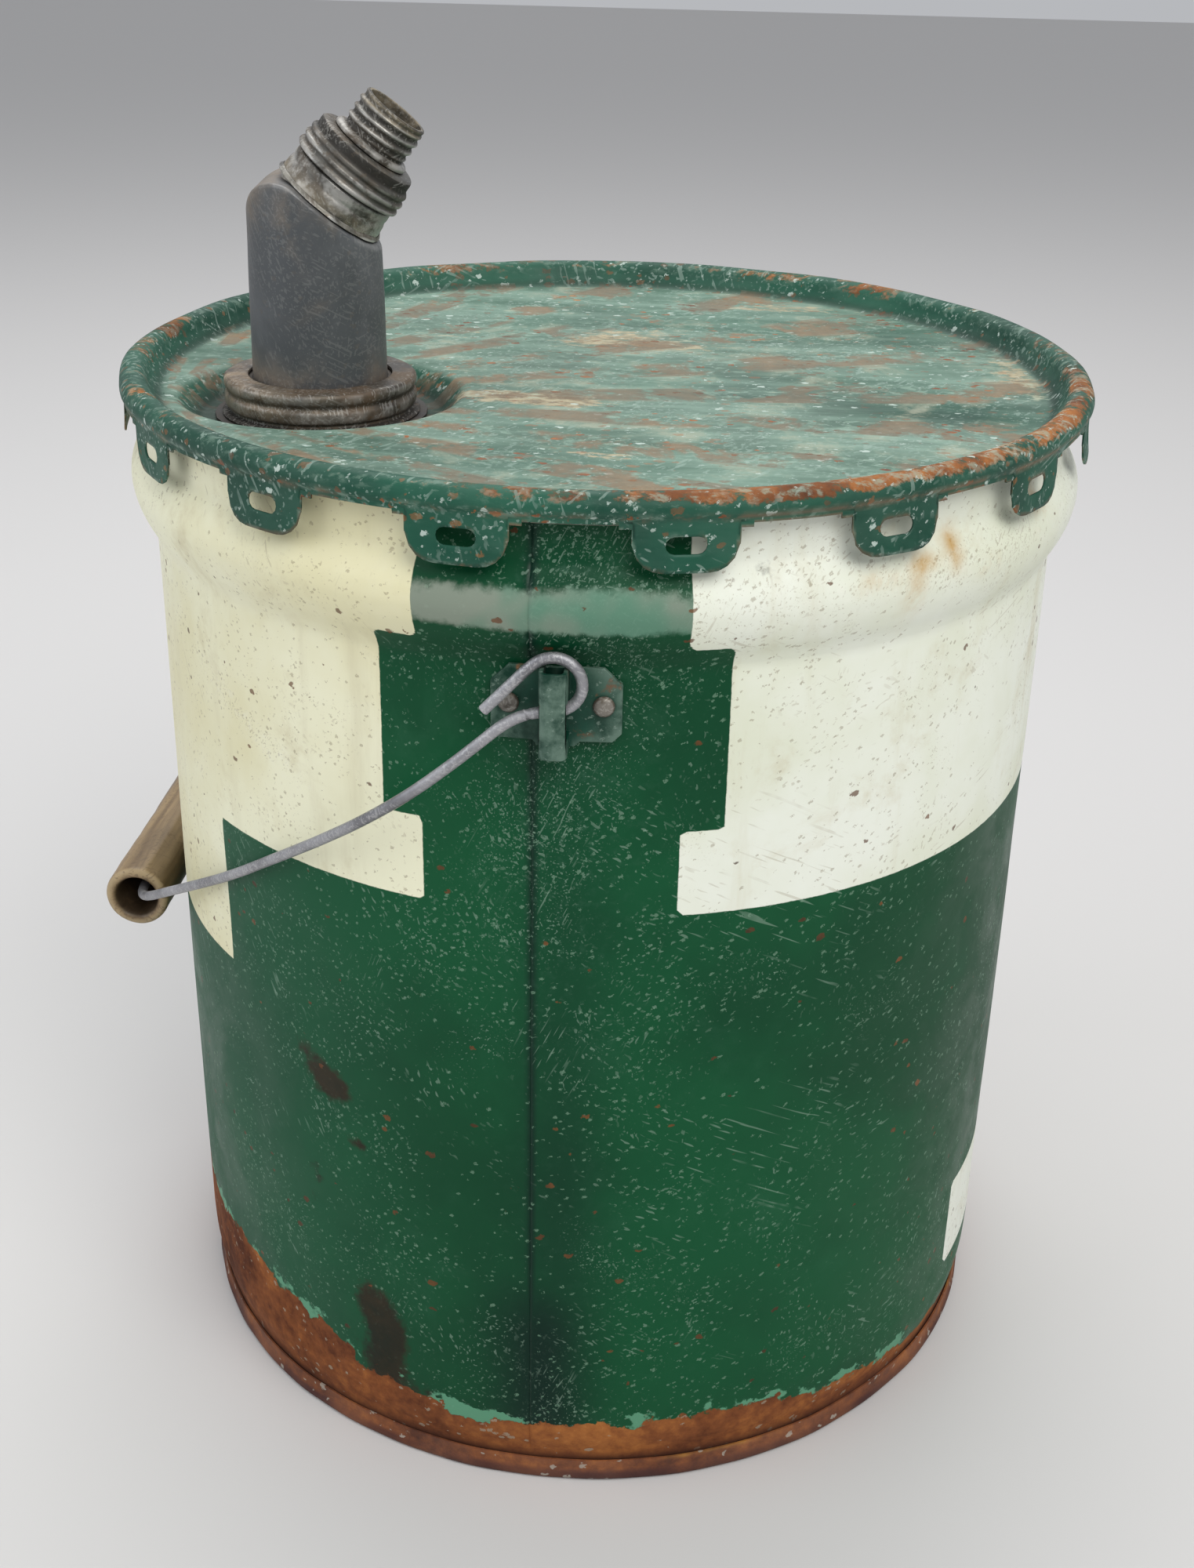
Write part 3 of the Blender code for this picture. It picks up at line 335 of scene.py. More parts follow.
def buildRustSkin():
    # brown and orange rust in three sizes of mottling, and how high it stands
    tree, take, give = newGroup("rustSkin", [("Vector", "NodeSocketVector", None),
                                             ("Warmth", "NodeSocketFloat", 0.5)],
                                [("Color", "NodeSocketColor"), ("Height", "NodeSocketFloat")])
    broad = noise(tree, take["Vector"], 22, 6, 0.6, 0.4)
    fine = noise(tree, take["Vector"], 240, 5, 0.65)
    value = plus(tree, times(tree, broad, 0.75), times(tree, fine, 0.35))
    value = plus(tree, value, times(tree, minus(tree, take["Warmth"], 0.5), 0.4))
    ramp = put(tree, "ShaderNodeValToRGB", {0: value})
    stops = ((0.30, (0.030, 0.009, 0.005)), (0.44, (0.10, 0.030, 0.012)),
             (0.56, (0.21, 0.068, 0.022)),
             (0.68, (0.36, 0.13, 0.035)), (0.82, (0.55, 0.25, 0.07)))
    while len(ramp.color_ramp.elements) < len(stops):
        ramp.color_ramp.elements.new(0.5)
    for element, (at, shade) in zip(ramp.color_ramp.elements, stops, strict=True):
        element.position = at
        element.color = colour(*shade)
    tree.links.new(ramp.outputs[0], give["Color"])
    tree.links.new(plus(tree, times(tree, broad, 0.6), fine), give["Height"])
    return tree


raggedEdge, flecks = buildRaggedEdge(), buildFlecks()
scratches, rustSkin = buildScratches(), buildRustSkin()
print("shader groups built")


def startMaterial(name):
    # a material, its tree, its shader and the places on the piece in metres
    made = bpy.data.materials.new(name)
    made.use_nodes = True
    tree = made.node_tree
    shader = tree.nodes["Principled BSDF"]
    place = put(tree, "ShaderNodeTexCoord").outputs["Object"]
    return made, tree, shader, place


def finishMaterial(tree, shader, base, rough, height, metal=0.0, strength=0.4, distance=0.4 * mm):
    # colour, roughness and metal to the shader, and the height as relief
    relief = put(tree, "ShaderNodeBump", {"Strength": strength, "Distance": distance,
            "Height": height})
    for key, value in (("Base Color", base), ("Roughness", rough), ("Metallic", metal)):
        if isinstance(value, bpy.types.NodeSocket):
            tree.links.new(value, shader.inputs[key])
        else:
            shader.inputs[key].default_value = value
    tree.links.new(relief.outputs[0], shader.inputs["Normal"])


pail = {
    "wall": 0.6 * mm, "radius": 145.5,
    "columns": 300,
    "seamBearing": -2.5,        # degrees from the front ear, as all bearings here
    "curl": (149.05, 335.2, 2.75),
    "bead": [(146.4, 324.0), (146.5, 320.9), (149.4, 317.0), (151.5, 312.6), (151.9, 308.0),
             (150.9, 303.0), (148.9, 298.2), (146.4, 294.4), (145.2, 291.2)],
    "wallTop": (145.2, 291.2), "waist": (145.2, 170.0), "wallFoot": (144.5, 30.0),
    "foot": [(144.5, 30.0), (144.2, 22.0), (143.4, 16.5), (142.2, 13.0), (141.6, 10.5),
             (141.6, 1.3)],
    # cream fields as (low bearing, high bearing, low height, high height), degrees and mm
    "fields": [(-165.0, -14.8, 297.5, 345.0), (13.6, 165.0, 297.5, 345.0),
               (-160.0, -20.0, 240.5, 302.5), (18.7, 160.0, 240.5, 302.5),
               (-165.0, -15.2, 215.5, 242.0), (13.7, 165.0, 215.5, 242.0),
               (-132.0, -48.3, 164.5, 220.0), (65.0, 115.0, 34.0, 70.0)],
    # height of the rust's edge round the foot: bearing, mm
    "rust": [(-180, 34), (-150, 44), (-120, 52), (-90, 54), (-66, 51), (-56, 47), (-44, 46),
             (-32, 39),
             (-25.6, 31), (-17, 26.5), (-8, 23), (4, 25.5), (15, 25.5), (20, 27), (32, 24.5),
             (45, 20),
             (67, 13), (90, 16), (120, 30), (150, 40), (180, 34)],
    # dark blots: bearing, height, width and height of the blot in mm, strength
    "blots": [(-33.5, 149, 7, 5, 0.75), (-30.5, 142, 8, 6, 0.9), (-28.6, 138.5, 7, 5, 1.0),
              (-25.4, 121, 4, 3, 0.9), (-32.7, 102, 4, 5, 0.8), (-33.5, 92, 3, 4, 0.6),
              (-24.5, 60, 8, 10, 0.8), (-21.8, 50, 7, 12, 1.0), (-23.5, 35, 10, 14, 0.9),
              (-17, 26, 14, 9, 0.7), (-9, 19, 12, 9, 0.8), (16, 21, 8, 5, 0.5),
              (24.5, 272, 2, 7, 0.5), (21, 319, 3, 4, 0.7), (23.8, 317, 3, 3, 0.6),
              (120, 60, 10, 14, 0.6), (-150, 120, 8, 10, 0.6), (170, 40, 14, 10, 0.8)],
    # yellow oil stains on the bead
    "oil": [(44.5, 317, 3, 6, 1.0), (40, 315, 5, 3, 0.9), (38.8, 307, 3, 6, 0.9),
            (34, 312, 6, 3, 0.8),
            (50, 309, 5, 3, 0.6), (63, 318, 5, 8, 1.0), (-110, 312, 6, 6, 0.7),
            (140, 310, 6, 6, 0.8)],
    "dents": [(-38, 175, 40, 30, -0.55), (28, 120, 45, 50, -0.45), (2, 70, 18, 30, -0.4),
              (-18, 240, 20, 26, 0.35), (70, 190, 35, 50, -0.5), (140, 150, 50, 40, -0.7),
              (-120, 100, 45, 45, -0.6), (100, 60, 30, 25, 0.4)],
}


def angleOf(bearing):
    # bearings count from -Y towards +X, angles from +X towards +Y
    return np.radians(np.asarray(bearing) - 90.0)


def bearingOf(angle):
    return (np.degrees(angle) + 90.0 + 180.0) % 360.0 - 180.0


def blotSum(blots, bearing, z):
    # sum of strength * exp(-(along/width)^2 - (up/height)^2), measured round the wall in mm
    total = 0 * z
    for at, height, wide, tall, strength in blots:
        along = np.radians((bearing - at + 180.0) % 360.0 - 180.0) * pail["radius"]
        total = total + strength * np.exp(-(along / wide) ** 2 - ((z / mm - height) / tall) ** 2)
    return total


def creamDistance(bearing, z):
    # signed distance into the union of the boxes, in metres: the largest over the boxes of the
    # smallest distance to their four sides
    best = np.full(np.shape(bearing), -1.0)
    for low, high, floor, top in pail["fields"]:
        inside = np.minimum(bearing - low, high - bearing) * math.pi / 180 * pail["radius"] * mm
        inside = np.minimum(inside, np.minimum(z - floor * mm, top * mm - z))
        best = np.maximum(best, inside)
    return best


def buildPailPaint():
    # green and cream enamel, layer on layer: tints, dust, scratches, chalk partly painted as a
    # highlight on the bead's front, oil, soot, chips, peeling edges, then bare rust under a ragged
    # line, and drab steel inside
    made, tree, shader, place = startMaterial("pailPaint")
    cream = useGroup(tree, raggedEdge, Vector=place, Distance=field(tree, "cream"), Reach=0.12 * mm,
                     Scale=420.0, Softness=0.18 * mm)["Mask"]
    soot, oil, chalkAndSheen = field(tree, "soot"), field(tree, "oil"), field(tree, "chalkAndSheen")
    along = put(tree, "ShaderNodeSeparateXYZ", {0: place}).outputs
    broad = noise(tree, place, 9, 5, 0.6)
    streak = noise(tree, stretched(tree, place, 1, 1, 0.12), 55, 6, 0.65)
    cloud = noise(tree, place, 34, 7, 0.68, 0.3)
    grain = noise(tree, place, 330, 4, 0.62)
    green = mixed(tree, spread(tree, broad, 0.38, 0.64), colour(0.0010, 0.053, 0.019),
                  colour(0.0025, 0.078, 0.027))
    green = layer(tree, green, spread(tree, along[0], -0.02, -0.12), 0.6,
                  colour(0.006, 0.078, 0.038))
    haze = times(tree, spread(tree, cloud, 0.52, 0.76), 0.10)
    green = mixed(tree, haze, green, colour(0.08, 0.20, 0.13))
    green = layer(tree, green, field(tree, "shade"), 0.9, colour(0.0008, 0.014, 0.010))
    warm = mixed(tree, spread(tree, broad, 0.36, 0.62), colour(0.74, 0.70, 0.45),
                 colour(0.84, 0.83, 0.62))
    cool = mixed(tree, spread(tree, broad, 0.36, 0.62), colour(0.72, 0.75, 0.60),
                 colour(0.82, 0.85, 0.76))
    ivory = mixed(tree, spread(tree, along[0], -0.04, 0.05), warm, cool)
    ivory = layer(tree, ivory, spread(tree, cloud, 0.52, 0.78), 0.55, colour(0.50, 0.42, 0.24))
    ivory = layer(tree, ivory, spread(tree, streak, 0.54, 0.75), 0.35, colour(0.56, 0.51, 0.34))
    base = mixed(tree, cream, green, ivory)
    dust = useGroup(tree, flecks, Vector=place, Scale=820.0, Share=0.22, Size=0.34,
                    Gather=20.0)["Mask"]
    dustTint = mixed(tree, cream, colour(0.13, 0.24, 0.16), colour(0.22, 0.16, 0.09))
    base = layer(tree, base, dust, minus(tree, 0.7, times(tree, cream, 0.25)), dustTint)
    hair = useGroup(tree, scratches, Vector=place, Scale=900.0, Level=0.66, Share=0.25)["Mask"]
    wear = useGroup(tree, scratches, Vector=stretched(tree, place, turn=(1.0, 0.4, 2.0)),
                    Scale=1500.0,
                    Level=0.66, Share=times(tree, field(tree, "scuff"), 0.9))["Mask"]
    lines = larger(tree, times(tree, hair, 0.32), times(tree, wear, 0.35))
    base = mixed(tree, lines, base, mixed(tree, cream, colour(0.30, 0.44, 0.34),
            colour(0.30, 0.24, 0.15)))
    scuffed = times(tree, field(tree, "scuff"), spread(tree, grain, 0.50, 0.72))
    base = layer(tree, base, scuffed, 0.35, mixed(tree, cream, colour(0.05, 0.13, 0.085),
            colour(0.88, 0.88, 0.80)))
    worn = plus(tree, times(tree, cloud, 1.1), times(tree, grain, 0.6))
    # chalky film that also stands in for a painted highlight: paler and greyer on the bead, most at
    # its front
    filmAndSheen = times(tree, spread(tree, plus(tree, chalkAndSheen, worn), 1.18, 1.62),
                minus(tree, 1.0, cream))
    filmAndSheenTint = mixed(tree, spread(tree, noise(tree, place, 24, 3), 0.42, 0.58),
                     colour(0.27, 0.31, 0.25), colour(0.13, 0.27, 0.19))
    base = layer(tree, base, filmAndSheen, 0.85, filmAndSheenTint)
    stained = times(tree, oil, spread(tree, cloud, 0.40, 0.60))
    base = layer(tree, base, stained, 0.85, colour(0.50, 0.27, 0.05))
    rust = useGroup(tree, rustSkin, Vector=place, Warmth=0.5)
    black = plus(tree, soot, times(tree, minus(tree, cloud, 0.5), 1.5))
    black = plus(tree, black, times(tree, minus(tree, grain, 0.5), 0.9))
    black = spread(tree, black, 0.40, 0.95)
    base = layer(tree, base, black, 0.92, mixed(tree, 0.10, colour(0.004, 0.008, 0.005),
            rust["Color"]))
    chips = useGroup(tree, flecks, Vector=place, Scale=330.0, Share=0.04, Size=0.30,
                     Gather=14.0)["Mask"]
    base = layer(tree, base, chips, 0.8, mixed(tree, 0.5, rust["Color"], colour(0.03, 0.02, 0.012)))
    rise = field(tree, "rustRise")
    bare = useGroup(tree, raggedEdge, Vector=place, Distance=times(tree, rise, -1.0),
                    Reach=5.5 * mm,
                    Scale=70.0, Softness=0.35 * mm)["Mask"]
    peel = useGroup(tree, raggedEdge, Vector=stretched(tree, place, turn=(0.0, 0.0, 1.0)),
                    Distance=minus(tree, 3.2 * mm, rise), Reach=6.0 * mm, Scale=85.0,
                    Softness=0.4 * mm)["Mask"]
    flake = spread(tree, noise(tree, place, 60, 5, 0.6), 0.50, 0.54)
    flake = times(tree, times(tree, peel, flake), minus(tree, 1.0, bare))
    base = layer(tree, base, flake, 0.85, colour(0.12, 0.33, 0.20))
    pits = useGroup(tree, flecks, Vector=place, Scale=520.0, Share=0.10, Size=0.42,
                    Gather=30.0)["Mask"]
    rusty = mixed(tree, times(tree, pits, 0.6), rust["Color"], colour(0.36, 0.31, 0.23))
    rusty = mixed(tree, spread(tree, along[2], 13 * mm, 7 * mm), rusty, colour(0.055, 0.020, 0.012))
    base = mixed(tree, bare, base, rusty)
    drab = mixed(tree, spread(tree, cloud, 0.40, 0.65), colour(0.20, 0.19, 0.16),
                 colour(0.10, 0.075, 0.045))
    base = mixed(tree, field(tree, "inner"), base,
                 mixed(tree, spread(tree, broad, 0.55, 0.68), drab, rust["Color"]))
    rough = spread(tree, cloud, 0.3, 0.7, 0.34, 0.55)
    rough = plus(tree, rough, times(tree, larger(tree, bare, filmAndSheen), 0.40), clamp=True)
    rough = minus(tree, rough, times(tree, field(tree, "shade"), 0.10))
    height = plus(tree, times(tree, noise(tree, place, 160, 3), 0.10), times(tree, lines, -0.12))
    height = plus(tree, height, times(tree, minus(tree, rust["Height"], 1.2),
            times(tree, bare, 0.8)))
    height = minus(tree, height, times(tree, chips, 0.25))
    height = plus(tree, height, times(tree, flake, 0.5))
    finishMaterial(tree, shader, base, rough, height)
    shader.inputs["Specular IOR Level"].default_value = 0.16
    return made


def buildPail():
    # a sheet's outline turned about the upright axis; dents and the side seam move its radius
    curlR, curlZ, curl = pail["curl"]
    top = np.vstack([arcLine((curlR, curlZ), curl, 250, 540, 26),
                     np.array([(146.35, 330.0)] + pail["bead"])])
    head = easedLine(top, 0.9, 4)
    wall = np.linspace(pail["wallTop"], pail["waist"], 60)
    lower = np.linspace(pail["waist"], pail["wallFoot"], 44)
    foot = easedLine(pail["foot"], 0.9, 4)
    middle = np.vstack([head[:-1], wall[:-1], lower[:-1], foot]) * mm
    loop = sheetLoop(middle, pail["wall"])
    count = len(middle)
    base = np.linspace(-180, 180, pail["columns"], endpoint=False)
    fine = pail["seamBearing"] + np.array([-1.0, -0.6, -0.35, -0.18, -0.05, 0.08, 0.22, 0.4, 0.7,
            1.0])
    base = base[np.abs(base - pail["seamBearing"]) > 1.1]
    bearings = np.sort(np.concatenate([base, fine]))

    def shaped(r, z, a):
        bearing = bearingOf(a)
        along = np.radians(bearing - pail["seamBearing"]) * pail["radius"]
        onWall = smoothStep(12 * mm, 30 * mm, z) * (1 - smoothStep(286 * mm, 294 * mm, z))
        dent = blotSum(pail["dents"], bearing, z) * onWall
        dent += 0.16 * ripple(np.radians(bearing) * pail["radius"], z / mm, 3,
                              90) * onWall * np.cos(np.radians(bearing) / 2) ** 2
        seam = (0.22 * smoothStep(-0.5, 0.1, along) - 0.22 * smoothStep(0.1, 3.2, along)
                - 0.32 * bump(along + 0.35, 0.35))
        return r + (dent + seam * smoothStep(9 * mm, 14 * mm, z)) * mm, z

    grid = turnedGrid(loop, angleOf(bearings), (0, 0, 0), change=shaped)
    z = grid[..., 2]
    bearing = np.broadcast_to(bearings[None, :], z.shape)
    edge = np.array(pail["rust"])
    along = np.radians(bearing - pail["seamBearing"]) * pail["radius"]
    shade = np.maximum(bump(along, 2.0) * 0.9,
                       0.55 * bump(along - 9, 15) * (1 - smoothStep(60 * mm, 320 * mm, z) * 0.6))
    shade = np.maximum(shade, bump(along - 3, 17) * (1 - smoothStep(60 * mm, 105 * mm, z)))
    scuff = bump(along - 10, 22) * (0.75 * smoothStep(120 * mm, 300 * mm, z) + 0.15)
    scuff = np.maximum(scuff, 0.6 * bump(z - 312 * mm, 9 * mm) * smoothStep(-35, 10, bearing))
    # chalk and painted highlight: a pale band round the bead, strongest where the bead faces the
    # front
    chalkAndSheen = smoothStep(299 * mm, 306 * mm, z) * (1 - smoothStep(310 * mm, 320 * mm, z)) * (0.55
            + 0.45 * bump(bearing, 22))
    scuff = np.maximum(scuff, 0.8 * bump((z / mm - 262 + 0.45 * np.radians(bearing + 48)
            * pail["radius"]), 5.0) * bump(bearing + 42, 13))
    fields = {"cream": creamDistance(bearing, z),
              "rustRise": z - np.interp(bearing, edge[:, 0], edge[:, 1]) * mm,
              "soot": blotSum(pail["blots"], bearing, z), "oil": blotSum(pail["oil"], bearing, z),
              "shade": shade, "scuff": scuff, "chalkAndSheen": chalkAndSheen,
              "inner": (np.arange(len(loop)) >= count + 24)[:, None] * 1.0}
    gridPiece("pailShell", "pail", grid, pailPaint, alongClosed=True, fields=fields,
              replaced=["pail_body"])


pailPaint = buildPailPaint()
buildPail()
print("pail body built")


chime = {
    "line": [(0.0, 3.1), (139.0, 3.1), (140.2, 2.7), (140.7, 1.6), (141.0, 0.6), (141.6, 0.3),
             (142.3, 0.35),
             (143.0, 0.9), (143.3, 2.2), (143.0, 3.6), (142.5, 5.0), (142.6, 6.4), (142.5, 8.3)],
    "columns": 288,
}


def buildChimeRust():
    # rust that goes purple-brown below a height, with orange streaks above it and pale grit
    made, tree, shader, place = startMaterial("chimeRust")
    rust = useGroup(tree, rustSkin, Vector=place, Warmth=0.42)
    up = put(tree, "ShaderNodeSeparateXYZ", {0: place}).outputs[2]
    purple = times(tree, spread(tree, up, 5.5 * mm, 3.0 * mm),
                   spread(tree, noise(tree, place, 30, 5), 0.30, 0.62))
    base = mixed(tree, times(tree, purple, 0.85), rust["Color"], colour(0.045, 0.014, 0.014))
    streak = times(tree, spread(tree, noise(tree, place, 18, 4), 0.56, 0.66),
                   spread(tree, up, 6.5 * mm, 8.0 * mm))
    base = layer(tree, base, streak, 0.8, colour(0.50, 0.24, 0.04))
    grit = useGroup(tree, flecks, Vector=place, Scale=420.0, Share=0.16, Size=0.36,
                    Gather=30.0)["Mask"]
    base = layer(tree, base, grit, 0.6, colour(0.42, 0.40, 0.34))
    rough = spread(tree, noise(tree, place, 60, 4), 0.3, 0.7, 0.62, 0.95)
    finishMaterial(tree, shader, base, rough, rust["Height"], strength=0.6, distance=0.6 * mm)
    return made


def buildChime():
    # a sheet from the middle out to the folded seam, turned about the upright axis; a ripple moves
    # the seam in and out
    line = easedLine(chime["line"][:2], 4.0)
    edge = easedLine(chime["line"][1:], 0.55, 2)
    loop = sheetLoop(np.vstack([line[:-1], edge]) * mm, 0.6 * mm)
    loop[:, 0] = np.maximum(loop[:, 0], 0)

    def worn(r, z, a):
        edgeOnly = smoothStep(139 * mm, 142 * mm, r)
        knock = 0.18 * ripple(np.cos(a) * 142, np.sin(a) * 142, 9, 34)
        return r + knock * edgeOnly * mm, z

    grid = turnedGrid(loop, roundAngles(chime["columns"]), (0, 0, 0), change=worn)
    gridPiece("bottomHead", "pail", grid, chimeRust, alongClosed=True,
              replaced=["bottom_head"])


chimeRust = buildChimeRust()
buildChime()
print("bottom head built")


nutLow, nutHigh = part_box("ring_nut")
spoutX, spoutY = (nutLow[0] + nutHigh[0]) / 2, (nutLow[1] + nutHigh[1]) / 2

cover = {
    "wall": 0.6 * mm,
    "lugs": 16,
    "firstLug": 12.65,          # bearing of the middle of the first lug
    "skirt": 152.45, "edge": 333.6, "skirtTop": 334.9,
    "lugHalf": 14.0, "lugLong": 13.0, "lugCorner": 8.0, "shoulder": 17.5, "shoulderDeep": 1.2,
    "slotHalf": 5.5, "slotRound": 2.4, "slotDrop": 5.6,
    # outward lean of each lug at its tip in mm, in turn from the first
    "lean": [0.3, 1.3, 0.6, 1.0, 0.2, 1.2, 0.8, 0.3, 1.3, 0.9, 0.4, 1.0, 0.6, 0.2, 1.2, 0.9],
    "well": [(27.3, 325.3), (37.4, 325.3), (44.9, 332.9), (48.0, 333.0)],
    "rim": [(140.9, 333.0), (142.3, 333.7), (145.3, 337.4)],
    # rust on the panel: x, y, width, depth in mm, strength
    "rust": [(-22, -30, 22, 9, 1.0), (-38, -27, 12, 7, 0.9), (-10, -32, 12, 9, 0.9),
             (0, 60, 26, 12, 0.75),
             (20, 45, 26, 10, 0.8), (-12, 46, 16, 9, 0.7), (4, -86, 16, 7, 0.8),
             (33, -19, 10, 5, 0.7),
             (-52, 3, 10, 5, 0.6), (132, 30, 8, 24, 0.8), (138, 2, 6, 18, 0.8),
             (-30, 100, 30, 8, 0.7),
             (60, 112, 34, 9, 0.7), (-60, 60, 14, 16, 0.6), (95, 60, 20, 10, 0.5),
             (-118, -60, 8, 14, 0.7)],
    # darker, less chalky green
    "dark": [(112, -30, 32, 20, 1.0), (60, -8, 40, 14, 0.6), (20, 84, 60, 16, 0.5),
             (-60, -100, 60, 14, 0.4),
             (100, 70, 24, 18, 0.7), (-104, 24, 22, 30, 0.8)],
}


def spotSum(spots, flat):
    # sum of strength * exp(-(x/width)^2 - (y/depth)^2), measured on the panel in mm
    total = np.zeros(flat.shape[:-1])
    for x, y, wide, deep, strength in spots:
        total += strength * np.exp(-((flat[..., 0] - x) / wide) ** 2
                                   - ((flat[..., 1] - y) / deep) ** 2)
    return total


def buildCoverPaint():
    # green enamel, chalked on the flat in drawn-out streaks, stained in blots, rusted over the rim by
    # its own field plus noise, and chipped along its cut edges
    made, tree, shader, place = startMaterial("coverPaint")
    broad = noise(tree, place, 13, 5, 0.6, 0.3)
    streak = noise(tree, stretched(tree, place, 0.16, 1, 1, (0.0, 0.0, 0.10)), 75, 6, 0.68)
    cloud = noise(tree, place, 46, 8, 0.7, 0.3)
    grain = noise(tree, stretched(tree, place, 0.5, 1, 1, (0.0, 0.0, 0.4)), 300, 6, 0.68)
    flat, rim, lip = field(tree, "flat"), field(tree, "rim"), field(tree, "lip")
    base = mixed(tree, spread(tree, broad, 0.35, 0.65), colour(0.002, 0.045, 0.026),
                 colour(0.006, 0.085, 0.048))
    chalkAndSheen = spread(tree, plus(tree, times(tree, streak, 0.7), times(tree, cloud, 0.4)), 0.40, 0.74)
    chalkAndSheen = times(tree, chalkAndSheen, minus(tree, 1.0, times(tree, field(tree, "dark"), 0.85)))
    chalkAndSheen = times(tree, chalkAndSheen, plus(tree, times(tree, flat, 0.90), 0.10))
    base = mixed(tree, chalkAndSheen, base, colour(0.23, 0.36, 0.29))
    base = layer(tree, base, flat, minus(tree, 0.34, times(tree, field(tree, "dark"), 0.3)),
                 colour(0.19, 0.27, 0.21))
    dusty = times(tree, times(tree, spread(tree, cloud, 0.50, 0.68), flat), 0.6)
    base = mixed(tree, dusty, base, colour(0.36, 0.36, 0.27))
    rust = useGroup(tree, rustSkin, Vector=place, Warmth=0.60)
    blotch = plus(tree, field(tree, "blot"), times(tree, minus(tree, streak, 0.5), 2.2))
    blotch = plus(tree, blotch, times(tree, minus(tree, grain, 0.5), 2.2))
    tan = mixed(tree, spread(tree, grain, 0.40, 0.60), colour(0.20, 0.13, 0.07),
                colour(0.46, 0.38, 0.24))
    base = layer(tree, base, spread(tree, blotch, 0.60, 0.95), 0.8, tan)
    rimRust = plus(tree, times(tree, rim, 0.62), times(tree, minus(tree, broad, 0.5), 1.1))
    rimRust = plus(tree, rimRust, times(tree, minus(tree, cloud, 0.5), 1.6))
    rimRust = plus(tree, rimRust, times(tree, minus(tree, grain, 0.5), 1.2))
    rusted = spread(tree, rimRust, 0.42, 0.62)
    base = layer(tree, base, rusted, 0.9, rust["Color"])
    rubbed = times(tree, spread(tree, grain, 0.50, 0.62), times(tree, larger(tree, rim, lip), 0.45))
    base = mixed(tree, rubbed, base, colour(0.30, 0.43, 0.34))
    spots = useGroup(tree, flecks, Vector=place, Scale=480.0, Share=0.05, Size=0.38,
                     Gather=16.0)["Mask"]
    small = useGroup(tree, flecks, Vector=place, Scale=900.0, Share=0.14, Size=0.36,
                     Gather=22.0)["Mask"]
    pale = larger(tree, times(tree, spots, 0.95), times(tree, small, 0.7))
    base = layer(tree, base, pale, 0.85, colour(0.50, 0.60, 0.54))
    hair = useGroup(tree, scratches, Vector=place, Scale=700.0, Level=0.64, Share=0.45)["Mask"]
    base = layer(tree, base, hair, 0.35, colour(0.34, 0.45, 0.39))
    chips = useGroup(tree, flecks, Vector=place, Scale=420.0, Share=0.16, Size=0.42,
                     Gather=24.0)["Mask"]
    chips = times(tree, chips, plus(tree, times(tree, lip, 0.6), 0.4))
    base = mixed(tree, chips, base, rust["Color"])
    edge = times(tree, lip, spread(tree, cloud, 0.46, 0.56))
    base = layer(tree, base, edge, 0.75, mixed(tree, 0.6, rust["Color"], colour(0.13, 0.14, 0.10)))
    # painted shade with some grime: near black in the spout's well and along the crease at the
    # panel's edge
    base = layer(tree, base, field(tree, "shadeAndGrime"), 0.85, colour(0.010, 0.018, 0.012))
    rough = spread(tree, cloud, 0.3, 0.7, 0.42, 0.72)
    rough = plus(tree, rough, times(tree, rusted, 0.25), clamp=True)
    height = plus(tree, times(tree, cloud, 0.5), times(tree, streak, 0.3))
    height = plus(tree, height, times(tree, times(tree, rust["Height"], rusted), 0.5))
    height = plus(tree, height, minus(tree, times(tree, pale, 0.3), times(tree, chips, 0.4)))
    finishMaterial(tree, shader, base, rough, height, strength=0.5, distance=0.5 * mm)
    shader.inputs["Specular IOR Level"].default_value = 0.3
    return made


